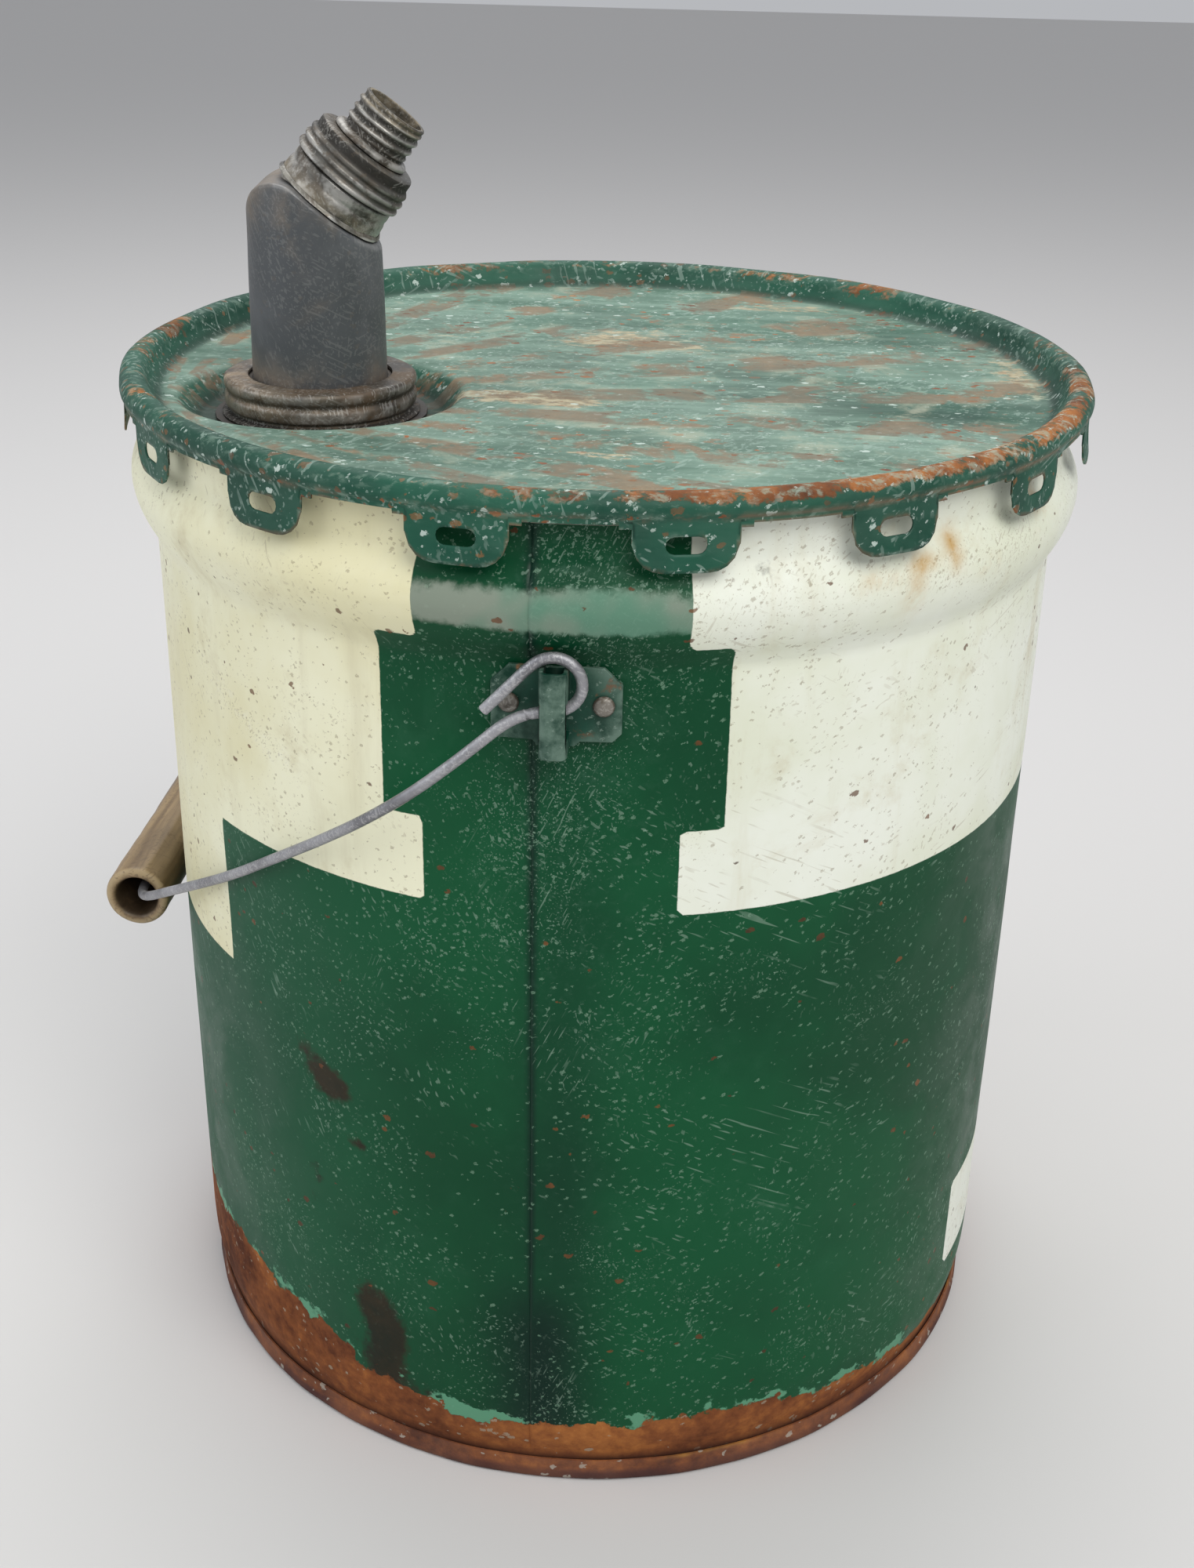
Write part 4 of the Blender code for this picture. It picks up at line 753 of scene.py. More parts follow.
def buildCover():
    # rows of rings: round the spout's hole, up the well's slope, out over the panel by blending
    # the well's circle into the cover's, over the rim, and down the skirt to an edge whose height
    # is a function of the bearing, so that it draws the lugs
    sign = np.array([-1.0, 1.0])
    half = cover["lugHalf"]
    right = np.array([3.1, 4.3, 5.2, cover["slotHalf"], 6.0, 8.5, 10.8, 12.8, half, half + 0.02,
                      cover["shoulder"], cover["shoulder"] + 0.05, 24.0])
    across = np.sort(np.concatenate([(sign[:, None] * right).ravel(), [0.0, -30.16]]))
    pitch = 360.0 / cover["lugs"]
    centres = cover["firstLug"] + pitch * np.arange(cover["lugs"])
    degrees = np.degrees(across / cover["skirt"])
    bearings = (centres[:, None] + degrees[None, :]).ravel()
    offset = np.abs(np.tile(across, cover["lugs"]))
    lean = np.repeat(cover["lean"], len(across))
    side = np.tile(across, cover["lugs"])
    angle = angleOf(bearings)
    ring = np.stack([np.cos(angle), np.sin(angle)], -1)
    spout = np.array([spoutX, spoutY]) / mm

    inner = easedLine(cover["well"], 0.75, 5)
    well = spout + inner[:, None, 0:1] * ring[None]
    wellZ = np.repeat(inner[:, 1:2], len(angle), 1)
    share = smoothStep(0, 1, np.linspace(0, 1, 30))[1:-1, None, None]
    start, end = well[-1], 140.2 * ring
    blend = start[None] * (1 - share) + end[None] * share
    blendZ = np.full(blend.shape[:2], 333.0)
    rimLine = np.vstack([np.array(cover["rim"]), arcLine((149.45, 337.35), 4.15, 180, -22, 26)[1:],
                         [(152.75, 335.35), (cover["skirt"], cover["skirtTop"])]])
    rimLine = easedLine(rimLine, 0.95, 2)
    rim = rimLine[:, None, 0:1] * ring[None]
    rimZ = np.repeat(rimLine[:, 1:2], len(angle), 1)

    tip = cover["edge"] - cover["lugLong"]
    corner = np.clip(offset - (half - cover["lugCorner"]), 0, cover["lugCorner"])
    onLug = offset <= half
    low = np.where(onLug, tip + cover["lugCorner"] - np.sqrt(cover["lugCorner"] ** 2 - corner ** 2),
                   cover["edge"])
    low = np.where((offset > half) & (offset <= cover["shoulder"]),
                   cover["edge"] - cover["shoulderDeep"], low)
    bend = np.clip(offset - (cover["slotHalf"] - cover["slotRound"]), 0, cover["slotRound"])
    gap = np.where(offset <= cover["slotHalf"],
                   np.sqrt(np.maximum(cover["slotRound"] ** 2 - bend ** 2, 0)), 0)
    slotZ = np.where(onLug, cover["edge"] - cover["slotDrop"], (cover["skirtTop"] + low) / 2)
    top = np.full_like(low, cover["skirtTop"])
    steps = np.linspace(0, 1, 6)[1:, None]
    upper = top + (slotZ + gap - top) * steps
    lower = (slotZ - gap) + (low - slotZ + gap) * np.concatenate([[[0.0]], steps])
    skirtZ = np.vstack([upper, lower])
    drop = np.clip((cover["edge"] + 1 - skirtZ) / cover["lugLong"], 0, 1)
    reach = cover["skirt"] + lean * drop ** 2 + 0.25 * drop * (side / half) * lean
    skirt = reach[..., None] * ring[None]

    flat = np.concatenate([well, blend, rim, skirt])
    z = np.concatenate([wellZ, blendZ, rimZ, skirtZ])
    r = np.linalg.norm(flat, axis=-1)
    spoutR = np.linalg.norm(flat - spout, axis=-1)
    sag = 0.45 * ripple(flat[..., 0], flat[..., 1], 5, 120) * smoothStep(52, 75,
            spoutR) * (1 - smoothStep(118, 139, r))
    knock = 0.22 * ripple(flat[..., 0], flat[..., 1], 12, 46) * smoothStep(144, 152, r)
    z = z + sag + 0.5 * knock * (z > 336)
    flat = flat * (1 + knock / np.maximum(r, 1))[..., None]
    grid = np.concatenate([flat, z[..., None]], -1) * mm

    faces = np.ones((len(grid) - 1, len(angle)), bool)
    slotRow = len(well) + len(blend) + len(rim) + 5 - 1
    inSlot = (offset < cover["slotHalf"] - 0.01) | (np.roll(offset, -1) < cover["slotHalf"] - 0.01)
    faces[slotRow] &= ~inSlot

    onRim = smoothStep(143.5, 146, r) * (z > 335)
    front = 0.55 + 0.45 * smoothStep(-60, 10, bearings) * (1 - smoothStep(70, 120, bearings))
    rimTop = onRim * smoothStep(337, 340.5, z) * front
    lip = np.maximum(np.maximum(1 - smoothStep(0, 1.1, z - low),
                                bump(z - (slotZ + gap), 0.7) * (gap > 0)) * (z < 335.4),
                     bump(z - 335.6, 0.8) * (r > 151))
    blot, dark = spotSum(cover["rust"], flat), spotSum(cover["dark"], flat)
    # painted shade with some grime: dark below the well's rim round the spout, and in a thin ring
    # where the panel turns up into the rim
    shadeAndGrime = np.maximum(0.9 * (1 - smoothStep(325.5, 331.5, z)) * (r < 142),
                       0.55 * bump(r - 142.2, 1.6))
    fields = {"flat": (1 - smoothStep(139, 143, r)) * smoothStep(331, 333, z), "rim": rimTop,
              "lip": lip,
              "blot": blot * (r < 143), "dark": np.clip(dark, 0, 1), "shadeAndGrime": shadeAndGrime}
    gridPiece("coverShell", "cover", grid, coverPaint, fields=fields,
              wall=cover["wall"],
              keep=faces, replaced=["lid"], sharp=50)


coverPaint = buildCoverPaint()
buildCover()
print("cover built")


def buildMetal(name, looks):
    # a bare metal that browns, darkens in its hollows ("groove") with grime and painted shade, and
    # has a painted highlight on its high edges
    made, tree, shader, place = startMaterial(name)
    cloud = noise(tree, place, looks["cloud"], 7, 0.66, 0.4)
    fine = noise(tree, place, 420, 4, 0.6)
    groove, high = field(tree, "groove"), field(tree, "high")
    base = mixed(tree, spread(tree, cloud, 0.36, 0.64), looks["dark"], looks["light"])
    stain = spread(tree, noise(tree, place, looks["stainScale"], 5, 0.62, 0.8), looks["stainFrom"],
                   looks["stainFrom"] + 0.14)
    stain = times(tree, stain, looks["stainShare"])
    base = mixed(tree, stain, base, looks["stain"])
    tinted = times(tree, field(tree, "tint"), spread(tree, cloud, 0.34, 0.60))
    base = layer(tree, base, tinted, 0.8, looks["tint"])
    # painted highlight: the high edges paled towards bright grey
    shine = times(tree, high, spread(tree, noise(tree, place, 130, 4, 0.6), 0.40, 0.56))
    shine = times(tree, shine, looks["shine"])
    base = mixed(tree, shine, base, colour(0.72, 0.71, 0.67))
    # painted shade with grime: the hollows darkened towards near black
    deep = times(tree, groove, spread(tree, fine, 0.15, 0.50, 0.75, 1.0))
    base = layer(tree, base, deep, 0.92, looks["shadeAndGrime"])
    hair = useGroup(tree, scratches, Vector=place, Scale=1400.0, Level=0.62, Share=0.6)["Mask"]
    base = layer(tree, base, hair, looks["hair"], colour(0.55, 0.54, 0.50))
    dots = useGroup(tree, flecks, Vector=place, Scale=620.0, Share=0.16, Size=0.40,
                    Gather=50.0)["Mask"]
    base = layer(tree, base, dots, looks["dots"], looks["stain"])
    rough = spread(tree, cloud, 0.3, 0.7, looks["rough"] - 0.08, looks["rough"] + 0.12)
    rough = plus(tree, rough, times(tree, larger(tree, deep, stain), 0.30))
    rough = minus(tree, rough, times(tree, shine, 0.25), clamp=True)
    metal = minus(tree, looks["metal"], times(tree, larger(tree, deep, stain),
            looks["metal"] * 0.8))
    height = plus(tree, times(tree, cloud, 0.5), times(tree, fine, 0.25))
    finishMaterial(tree, shader, base, rough, height, metal, strength=looks["relief"],
                   distance=0.3 * mm)
    return made


zincLooks = {"cloud": 30.0, "dark": colour(0.085, 0.092, 0.098),
             "light": colour(0.135, 0.142, 0.150),
             "stain": colour(0.14, 0.115, 0.09), "stainScale": 24.0, "stainFrom": 0.50,
             "stainShare": 0.5,
             "tint": colour(0.30, 0.22, 0.14), "shine": 0.15, "shadeAndGrime": colour(0.03, 0.025, 0.02),
             "hair": 0.10,
             "dots": 0.25, "rough": 0.52, "metal": 0.35, "relief": 0.3}
tinLooks = {"cloud": 90.0, "dark": colour(0.060, 0.056, 0.048), "light": colour(0.145, 0.14, 0.125),
            "stain": colour(0.10, 0.075, 0.05), "stainScale": 60.0, "stainFrom": 0.46,
            "stainShare": 0.6,
            "tint": colour(0.36, 0.30, 0.20), "shine": 0.38, "shadeAndGrime": colour(0.012, 0.010, 0.007),
            "hair": 0.25,
            "dots": 0.4, "rough": 0.38, "metal": 0.55, "relief": 0.5}
brownLooks = {"cloud": 60.0, "dark": colour(0.050, 0.042, 0.033),
              "light": colour(0.12, 0.10, 0.075),
              "stain": colour(0.12, 0.075, 0.04), "stainScale": 40.0, "stainFrom": 0.50,
              "stainShare": 0.6,
              "tint": colour(0.36, 0.28, 0.19), "shine": 0.16, "shadeAndGrime": colour(0.014, 0.011, 0.008),
              "hair": 0.25,
              "dots": 0.4, "rough": 0.42, "metal": 0.45, "relief": 0.5}
solderLooks = {"cloud": 110.0, "dark": colour(0.07, 0.065, 0.055),
               "light": colour(0.22, 0.21, 0.18),
               "stain": colour(0.10, 0.075, 0.05), "stainScale": 70.0, "stainFrom": 0.50,
               "stainShare": 0.6,
               "tint": colour(0.4, 0.3, 0.2), "shine": 0.6, "shadeAndGrime": colour(0.015, 0.012, 0.01),
               "hair": 0.2,
               "dots": 0.3, "rough": 0.40, "metal": 0.6, "relief": 0.8}
zinc, tin = buildMetal("dullZinc", zincLooks), buildMetal("wornTin", tinLooks)
brown, solder = buildMetal("brownedSteel", brownLooks), buildMetal("oldSolder", solderLooks)


def buildGasketMaterial():
    made, tree, shader, place = startMaterial("oilyRubber")
    cloud = noise(tree, place, 90, 6, 0.6)
    base = mixed(tree, spread(tree, cloud, 0.35, 0.65), colour(0.018, 0.015, 0.013),
                 colour(0.055, 0.045, 0.036))
    finishMaterial(tree, shader, base, spread(tree, cloud, 0.3, 0.7, 0.55, 0.8),
                   noise(tree, place, 500, 3), strength=0.3)
    return made


rubber = buildGasketMaterial()
capTurn = joints["cap_turn"]
outletOrigin, outletAxis = np.array(capTurn["pos_m"]), np.array(capTurn["axis"])
spoutFoot = np.array([spoutX, spoutY, 0.0])

turnedPieces = {
    "ringNut": {"body": "nut", "node": "ring_nut", "slot": "browned_steel", "material": brown,
                "columns": 200,
                "step": 0.38, "rounds": 2, "groove": (29.15, 0.75), "high": 29.62, "outer": 28.7,
                "loop": [(22.2, 339.2), (28.1, 339.2), (29.3, 338.8), (29.8, 337.9), (29.8, 336.6),
                         (29.5, 335.6),
                         (28.85, 334.9), (28.85, 334.2), (29.5, 333.6), (29.8, 332.9),
                         (29.8, 331.0), (29.5, 330.1),
                         (29.1, 329.6), (28.4, 329.6), (28.4, 338.0), (22.2, 338.0)]},
    # the neck's flange sits under the nut in the well; its groove reach darkens all of it, painted
    # shade with grime
    "coverNeck": {"body": "cover", "node": "lid_neck", "slot": "browned_steel", "material": brown,
                  "columns": 160,
                  "step": 0.5, "rounds": 1, "groove": (32.0, 1.2), "high": 33.0, "outer": 28.2,
                  "loop": [(23.6, 335.0), (28.0, 335.0), (28.0, 329.2), (28.3, 328.2),
                           (30.4, 328.1), (30.9, 327.8),
                           (30.9, 327.3), (27.0, 327.2), (27.0, 324.7), (29.9, 324.7),
                           (29.9, 323.7), (25.6, 323.7),
                           (25.6, 334.0), (23.6, 334.0)]},
}


def grooveFields(loop, spec, axisDistance):
    # how deep below the outside each point lies, and which points stand highest
    mouth, fade = spec["groove"]
    outside = loop[:, 0:1] > spec["outer"]
    groove = np.clip((mouth - axisDistance) / fade, 0, 1) * outside
    high = smoothStep(spec["high"] - 0.25, spec["high"] + 0.1, axisDistance)
    return groove, high


def buildTurned(name, spec, origin, lift, change=None, tint=None):
    # a closed outline (r, z) turned about the lift through the origin, with its fields
    loop = easedLoop(np.array(spec["loop"]), spec["step"], spec["rounds"])
    angles = roundAngles(spec["columns"])
    grid = turnedGrid(loop * mm, angles, origin, lift, change)
    away = grid - np.asarray(origin)
    lift = np.asarray(lift) / np.linalg.norm(lift)
    along = away @ lift
    distance = np.linalg.norm(away - along[..., None] * lift, axis=-1) / mm
    groove, high = grooveFields(loop, spec, distance)
    fields = {"groove": groove, "high": high, "tint": tint(grid) if tint else 0 * distance}
    return gridPiece(name, spec["body"], grid, spec["material"], alongClosed=True,
                     fields=fields,
                     replaced=[spec["node"]])


def nutTint(grid):
    # tan on the -X side, easing out over 30 mm across the nut
    x, y = grid[..., 0] - spoutX, grid[..., 1] - spoutY
    return smoothStep(12 * mm, -18 * mm, x - 0.3 * y) * 0.9


def nutKnocks(r, z, a):
    # r and z moved by a ripple along the rim
    knock = 0.10 * ripple(np.cos(a) * 29, np.sin(a) * 29, 21, 11) * (r > 28.6 * mm)
    return r + knock * mm, z + 0.3 * knock * mm


buildTurned("ringNut", turnedPieces["ringNut"], spoutFoot, (0, 0, 1), nutKnocks, nutTint)
buildTurned("coverNeck", turnedPieces["coverNeck"], spoutFoot, (0, 0, 1))

cap = {
    "body": "cap", "node": "reducer_cap", "slot": "tinplate", "material": tin, "columns": 160,
    "step": 0.3, "rounds": 2,
    "groove": (17.2, 0.9), "high": 17.5, "outer": 16.0,
    "loop": [(10.3, 20.6), (14.6, 20.6), (15.6, 20.3), (16.2, 19.6), (16.2, 16.9), (16.9, 16.5),
             (17.4, 15.7),
             (17.2, 15.0), (16.6, 14.5), (16.9, 14.0), (17.7, 13.3), (17.7, 12.6), (17.0, 11.9),
             (16.8, 11.3),
             (17.4, 10.8), (17.8, 10.2), (17.7, 9.5), (16.6, 9.5), (16.6, 11.0), (15.0, 12.2),
             (15.0, 19.4), (10.3, 19.4)],
}
nozzle = {
    "body": "cap", "node": "nozzle", "slot": "tinplate", "material": tin, "columns": 144,
    "step": 0.28, "rounds": 1,
    "groove": (10.45, 0.5), "high": 10.68, "outer": 9.6,
    "loop": [(8.9, 34.3), (10.0, 34.3), (10.3, 33.8), (10.0, 33.0), (10.0, 22.9), (11.6, 22.6),
             (12.4, 21.9), (12.4, 20.9),
             (10.0, 20.9), (10.0, 19.1), (11.1, 19.1), (11.1, 18.1), (8.9, 18.1)],
}
neck = {
    "body": "spout", "node": "spout_neck", "slot": "tinplate", "material": tin, "columns": 128,
    "step": 0.4, "rounds": 1,
    "groove": (16.0, 0.6), "high": 15.95, "outer": 14.3,
    "loop": [(14.6, 17.4), (14.6, 10.6), (15.4, 9.3), (16.5, 8.7), (16.7, 6.4), (16.4, 5.6),
             (16.9, 4.6), (17.2, 1.6),
             (17.2, 0.5), (16.0, 0.3), (16.0, -2.0), (15.2, -2.0), (15.2, 8.2), (13.8, 10.2),
             (13.8, 17.4)],
}


def nozzleThread(r, z, a):
    # r grows by a rounded ridge whose place climbs one pitch a turn, fading at both ends
    pitch, height = 2.9, 0.85
    s = z / mm
    phase = (s / pitch - a / (2 * math.pi)) % 1.0
    ridge = np.cos(math.pi * np.clip((phase - 0.5) * 2.3, -1, 1)) * 0.5 + 0.5
    window = smoothStep(23.2, 24.4, s) * (1 - smoothStep(31.8, 33.2, s)) * (r > 9.6 * mm)
    return r + height * ridge * window * mm, z


def capWobble(r, z, a):
    # the skirt lifted by a sine of the angle between its edge and its top, and a ripple in and out
    outside = r > 16.0 * mm
    lift = 0.45 * np.sin(a - 0.6) * outside * smoothStep(17.5, 16.0, z / mm) * smoothStep(9.4, 11.2,
            z / mm)
    knock = 0.10 * ripple(np.cos(a) * 17, np.sin(a) * 17 + z / mm, 31, 9) * outside
    return r + knock * mm, z + lift * mm


def lipTint(grid):
    # tan from 30.5 to 33.2 mm along the outlet
    s = (grid - outletOrigin) @ outletAxis / mm
    return smoothStep(30.5, 33.2, s)


def neckTint(grid):
    # tan towards the foot of the outlet, from 6 mm down to 1 mm
    s = (grid - outletOrigin) @ outletAxis / mm
    return 0.6 * smoothStep(6.0, 1.0, s)


buildTurned("reducerCap", cap, outletOrigin, outletAxis, capWobble)
buildTurned("nozzleTube", nozzle, outletOrigin, outletAxis, nozzleThread, lipTint)
buildTurned("spoutNeck", neck, outletOrigin, outletAxis, None, neckTint)

fillet = {
    "body": "spout", "node": "solder_fillet", "slot": "solder", "material": solder, "columns": 144,
    "step": 0.3, "rounds": 2,
    "groove": (16.0, 1.0), "high": 18.2, "outer": 30.0,
    "loop": [(17.3, 1.7), (17.6, 1.3), (18.0, 0.7), (18.4, 0.35), (18.4, 0.2), (17.3, 0.2)],
}


def solderLumps(r, z, a):
    # r and z raised by a ripple and by one drip
    lump = ripple(np.cos(a) * 17, np.sin(a) * 17, 41,
                  7) * 0.35 + 1.2 * bump((a - 5.1 + math.pi) % (2 * math.pi) - math.pi, 0.16)
    free = smoothStep(17.3, 17.7, r / mm)
    return r + 0.5 * lump * free * mm, z + 0.5 * lump * smoothStep(0.4, 1.4, z / mm) * mm


buildTurned("solderFillet", fillet, outletOrigin, outletAxis, solderLumps)
print("nut, cap and nozzle built")

spout = {
    "radius": 20.8, "wall": 0.9, "foot": 336.7, "flange": 27.8, "flangeTop": 337.7, "turn": 4.6,
    "lean": 38.0, "faceX": 4.755, "faceZ": 390.3, "shoulder": 11.5, "hole": 16.3, "edge": 1.1,
    "columns": 176, "taper": 0.035,
}


def roofHeight(x, inset):
    # the slanted face's line, rounded on the far side by an arc that touches both it and the wall
    lean = math.radians(spout["lean"])
    radius, rounding = spout["radius"] - inset, spout["shoulder"] - inset
    faceX = spout["faceX"] - inset * math.sin(lean)
    faceZ = spout["faceZ"] - inset * math.cos(lean)
    centreX = rounding - radius
    centreZ = faceZ - (centreX - faceX + rounding
                       * math.sin(lean)) * math.tan(lean) - rounding * math.cos(lean)
    line = faceZ - (x - faceX) * math.tan(lean)
    arc = centreZ + np.sqrt(np.maximum(rounding ** 2 - np.minimum(x - centreX, rounding) ** 2, 0))
    return np.where(x > centreX + rounding * math.sin(lean), line, arc)


def buildSpout():
    # rings from the foot up the wall to the roof's edge, inwards over the roof by blending the
    # wall's circle into the hole's ellipse, through the hole, and back down the inside
    lean, edge = math.radians(spout["lean"]), spout["edge"]
    a = roundAngles(spout["columns"])
    ringX, ringY = np.cos(a), np.sin(a)

    def wallRows(radius, inset, rows, low):
        x = radius * ringX
        top = roofHeight(x, inset) - edge
        share = np.linspace(0, 1, rows)[:, None]
        return np.stack([np.tile(x, (rows, 1)), np.tile(radius * ringY, (rows, 1)),
                         low + (top - low) * share], -1)

    def roofRows(radius, inset, rows):
        turn = np.linspace(0, math.pi / 2, 5)[1:, None]
        r = radius - edge * (1 - np.cos(turn))
        x = r * ringX
        z = roofHeight(x, inset) - edge * (1 - np.sin(turn))
        rounded = np.stack([x, r * ringY, z], -1)
        share = np.linspace(0, 1, rows)[1:, None]
        holeX = spout["faceX"] + spout["hole"] * ringX * math.cos(lean) - inset * math.sin(lean)
        x = x[-1] * (1 - share) + holeX * share
        y = r[-1] * ringY * (1 - share) + spout["hole"] * ringY * share
        return np.vstack([rounded, np.stack([x, y, roofHeight(x, inset)], -1)])

    def footRows(points):
        points = np.array(points)[:, :, None]
        return np.stack([points[:, 0] * ringX, points[:, 0] * ringY, points[:, 1] + 0 * ringX], -1)

    radius, inner = spout["radius"], spout["radius"] - spout["wall"]
    flange, foot, top = spout["flange"], spout["foot"], spout["flangeTop"]
    skirt = footRows([(inner, foot), (flange - 0.3, foot), (flange, foot + 0.3),
                      (flange, top - 0.3), (flange - 0.3, top),
                      (24.0, top), (radius + 0.9, top), (radius + 0.25, top + 0.25),
                      (radius, top + 1.0)])
    outer = np.vstack([wallRows(radius, 0, 46, top + 2.0), roofRows(radius, 0, 16)])
    inside = np.vstack([wallRows(inner, spout["wall"], 24, foot + 1.0),
                        roofRows(inner, spout["wall"], 8)])[::-1]
    local = np.vstack([skirt, outer, inside])
    x, y, z = local[..., 0], local[..., 1], local[..., 2]
    onWall = smoothStep(342, 352, z) * (1 - smoothStep(372, 384, z))
    push = 1 + 0.004 * ripple(np.arctan2(y, x) * 20, z, 51,
                              30) * onWall - spout["taper"] * smoothStep(340, 392, z)
    turn = math.radians(spout["turn"])
    worldX = x * push * math.cos(turn) - y * push * math.sin(turn)
    worldY = x * push * math.sin(turn) + y * push * math.cos(turn)
    grid = np.stack([worldX, worldY, z], -1) * mm + spoutFoot
    tint = np.maximum(smoothStep(-10, -19, x) * smoothStep(376, 396, z),
                      0.75 * (1 - smoothStep(338, 352, z)))
    tint = np.maximum(tint, 0.8 * bump(x + 5, 5.0) * bump(z - 386, 12) * (y < -15))
    tint = np.maximum(tint, 0.7 * smoothStep(2.5, 0.5, np.abs(z - roofHeight(x, 0)))
                      * smoothStep(-4, -12, x))
    # painted shade with grime in the corner at the tube's foot, and a painted highlight along the
    # roof's edge
    groove = 0.8 * bump(z - 338.0, 1.5) * (np.hypot(x, y) > 20)
    high = bump(z - roofHeight(x, 0) + 0.5, 0.8) * (np.hypot(x, y) > 19.2)
    gridPiece("spoutTube", "spout", grid, zinc, alongClosed=True,
              fields={"tint": tint, "groove": groove, "high": high}, replaced=["spout_tube"])


buildSpout()
print("spout built")


swing = joints["bail_swing"]
bailZ = swing["pos_m"][2]

bail = {
    "radius": 1.6, "plane": 152.5, "rest": 220.5, "tailOut": 2.2, "footOut": 0.7,
    # the front eye seen from outside, x and z from the swing's axis
    "cutEnd": (-18.54, -7.49), "eye": 8.0, "eyeFrom": 135.6,
    "bendOut": [(-4.4, -8.16), (-8.4, -8.96)],
    # the arm in the bail's own plane: reach from the axis and half width
    "arm": [(17.5, 154.3), (25.3, 155.7), (33.2, 156.4), (41.1, 156.5), (49.0, 155.7),
            (56.6, 153.8), (64.0, 151.0),
            (71.2, 147.8), (78.3, 144.1), (92.0, 136.0), (105.3, 127.2), (118.5, 118.4),
            (131.7, 109.5),
            (144.3, 99.9), (156.5, 89.6), (168.6, 79.2), (180.6, 68.8), (192.6, 58.4),
            (198.2, 52.8), (202.6, 46.6),
            (205.3, 39.5), (206.3, 31.8), (206.5, 23.9), (206.5, 0.0)],
}


def buildWireSteel():
    # grey wire in two tones, with rust in patches and bright hairlines
    made, tree, shader, place = startMaterial("wireSteel")
    cloud = noise(tree, place, 55, 6, 0.62)
    base = mixed(tree, spread(tree, cloud, 0.36, 0.64), colour(0.20, 0.20, 0.215),
                 colour(0.36, 0.36, 0.38))
    rusty = useGroup(tree, rustSkin, Vector=place, Warmth=0.5)
    base = layer(tree, base, spread(tree, noise(tree, place, 20, 5, 0.6), 0.58, 0.70), 0.45,
                 rusty["Color"])
    hair = useGroup(tree, scratches, Vector=place, Scale=1400.0, Level=0.60, Share=0.7)["Mask"]
    base = layer(tree, base, hair, 0.4, colour(0.6, 0.6, 0.6))
    finishMaterial(tree, shader, base, spread(tree, cloud, 0.3, 0.7, 0.38, 0.60),
                   noise(tree, place, 500, 4), 0.65, 0.3, 0.2 * mm)
    return made


def buildBail():
    # rings of the wire's radius round a line; each ring's plane is square to the line, and its first
    # direction is squared from a guide that turns from the eye's plane to the bail's
    angles = np.radians(np.linspace(bail["eyeFrom"], -90, 40))
    eye = np.stack([bail["eye"] * np.cos(angles), bail["eye"] * np.sin(angles)], 1)
    flat = np.vstack([[bail["cutEnd"]], eye, bail["bendOut"]])
    end = np.stack([flat[:, 0], -bail["plane"] + 0 * flat[:, 0], flat[:, 1]], 1)
    end[[0, -1], 1] -= bail["tailOut"], bail["footOut"]
    rest = math.radians(bail["rest"])
    arm = np.array(bail["arm"])
    side = np.stack([arm[:, 0] * math.cos(rest), -arm[:, 1], arm[:, 0] * math.sin(rest)], 1)
    half = np.vstack([end, side])
    whole = np.vstack([half, (half * [1, -1, 1])[-2::-1]])
    line = easedLine(whole, 1.6, 5)
    along = np.gradient(line, axis=0)
    along /= np.linalg.norm(along, axis=1, keepdims=True)
    square = np.array([-math.sin(rest), 0, math.cos(rest)])
    reach = np.hypot(line[:, 0], line[:, 2])
    share = smoothStep(9.5, 13.0, reach)[:, None] * (np.abs(line[:, 1:2]) < 175)
    early = np.arange(len(line))[:, None]
    inTail = (early < 14) | (early > len(line) - 15)
    share = np.where(inTail, 0, share)
    guide = np.array([0, 1.0, 0]) * (1 - share) + square * share
    one = np.cross(along, guide)
    one /= np.linalg.norm(one, axis=1, keepdims=True)
    two = np.cross(along, one)
    a = roundAngles(16)
    ringX, ringY = np.cos(a)[None, :, None], np.sin(a)[None, :, None]
    ringAt = line[:, None, :] + bail["radius"] * (ringX * one[:, None] + ringY * two[:, None])
    caps = []
    for index, sign in ((0, -1), (-1, 1)):
        chamfer = line[index] + (ringAt[index] - line[index]) * 0.85 + sign * along[index] * 0.3
        centre = np.repeat((line[index] + sign * along[index] * 0.3)[None], len(a), 0)
        caps.append([chamfer, centre])
    grid = np.concatenate([[caps[0][1]], [caps[0][0]], ringAt, [caps[1][0]], [caps[1][1]]]) * mm
    grid[..., 2] += bailZ
    gridPiece("bailWire", "bail", grid, buildWireSteel(), replaced=["bail_wire"])


buildBail()

grip = {"radius": 11.0, "bore": 7.0, "half": 45.0, "columns": 96}


def buildGripWood():
    # brown grain drawn out along the grip, paler at its worn ends and dark in the bore
    made, tree, shader, place = startMaterial("gripWood")
    grain = noise(tree, stretched(tree, place, 1, 0.06, 1), 230, 6, 0.65, 0.5)
    broad = noise(tree, stretched(tree, place, 1, 0.25, 1), 45, 4, 0.6)
    base = mixed(tree, spread(tree, grain, 0.35, 0.65), colour(0.16, 0.10, 0.045),
                 colour(0.33, 0.23, 0.12))
    base = layer(tree, base, spread(tree, broad, 0.45, 0.70), 0.5, colour(0.09, 0.060, 0.03))
    base = layer(tree, base, field(tree, "high"), 0.75, colour(0.42, 0.32, 0.18))
    base = layer(tree, base, field(tree, "groove"), 0.9, colour(0.035, 0.022, 0.012))
    hair = useGroup(tree, scratches, Vector=place, Scale=1000.0, Level=0.62, Share=0.6)["Mask"]
    base = layer(tree, base, hair, 0.5, colour(0.10, 0.06, 0.03))
    finishMaterial(tree, shader, base, spread(tree, grain, 0.3, 0.7, 0.38, 0.58), grain,
                   strength=0.35, distance=0.3 * mm)
    return made


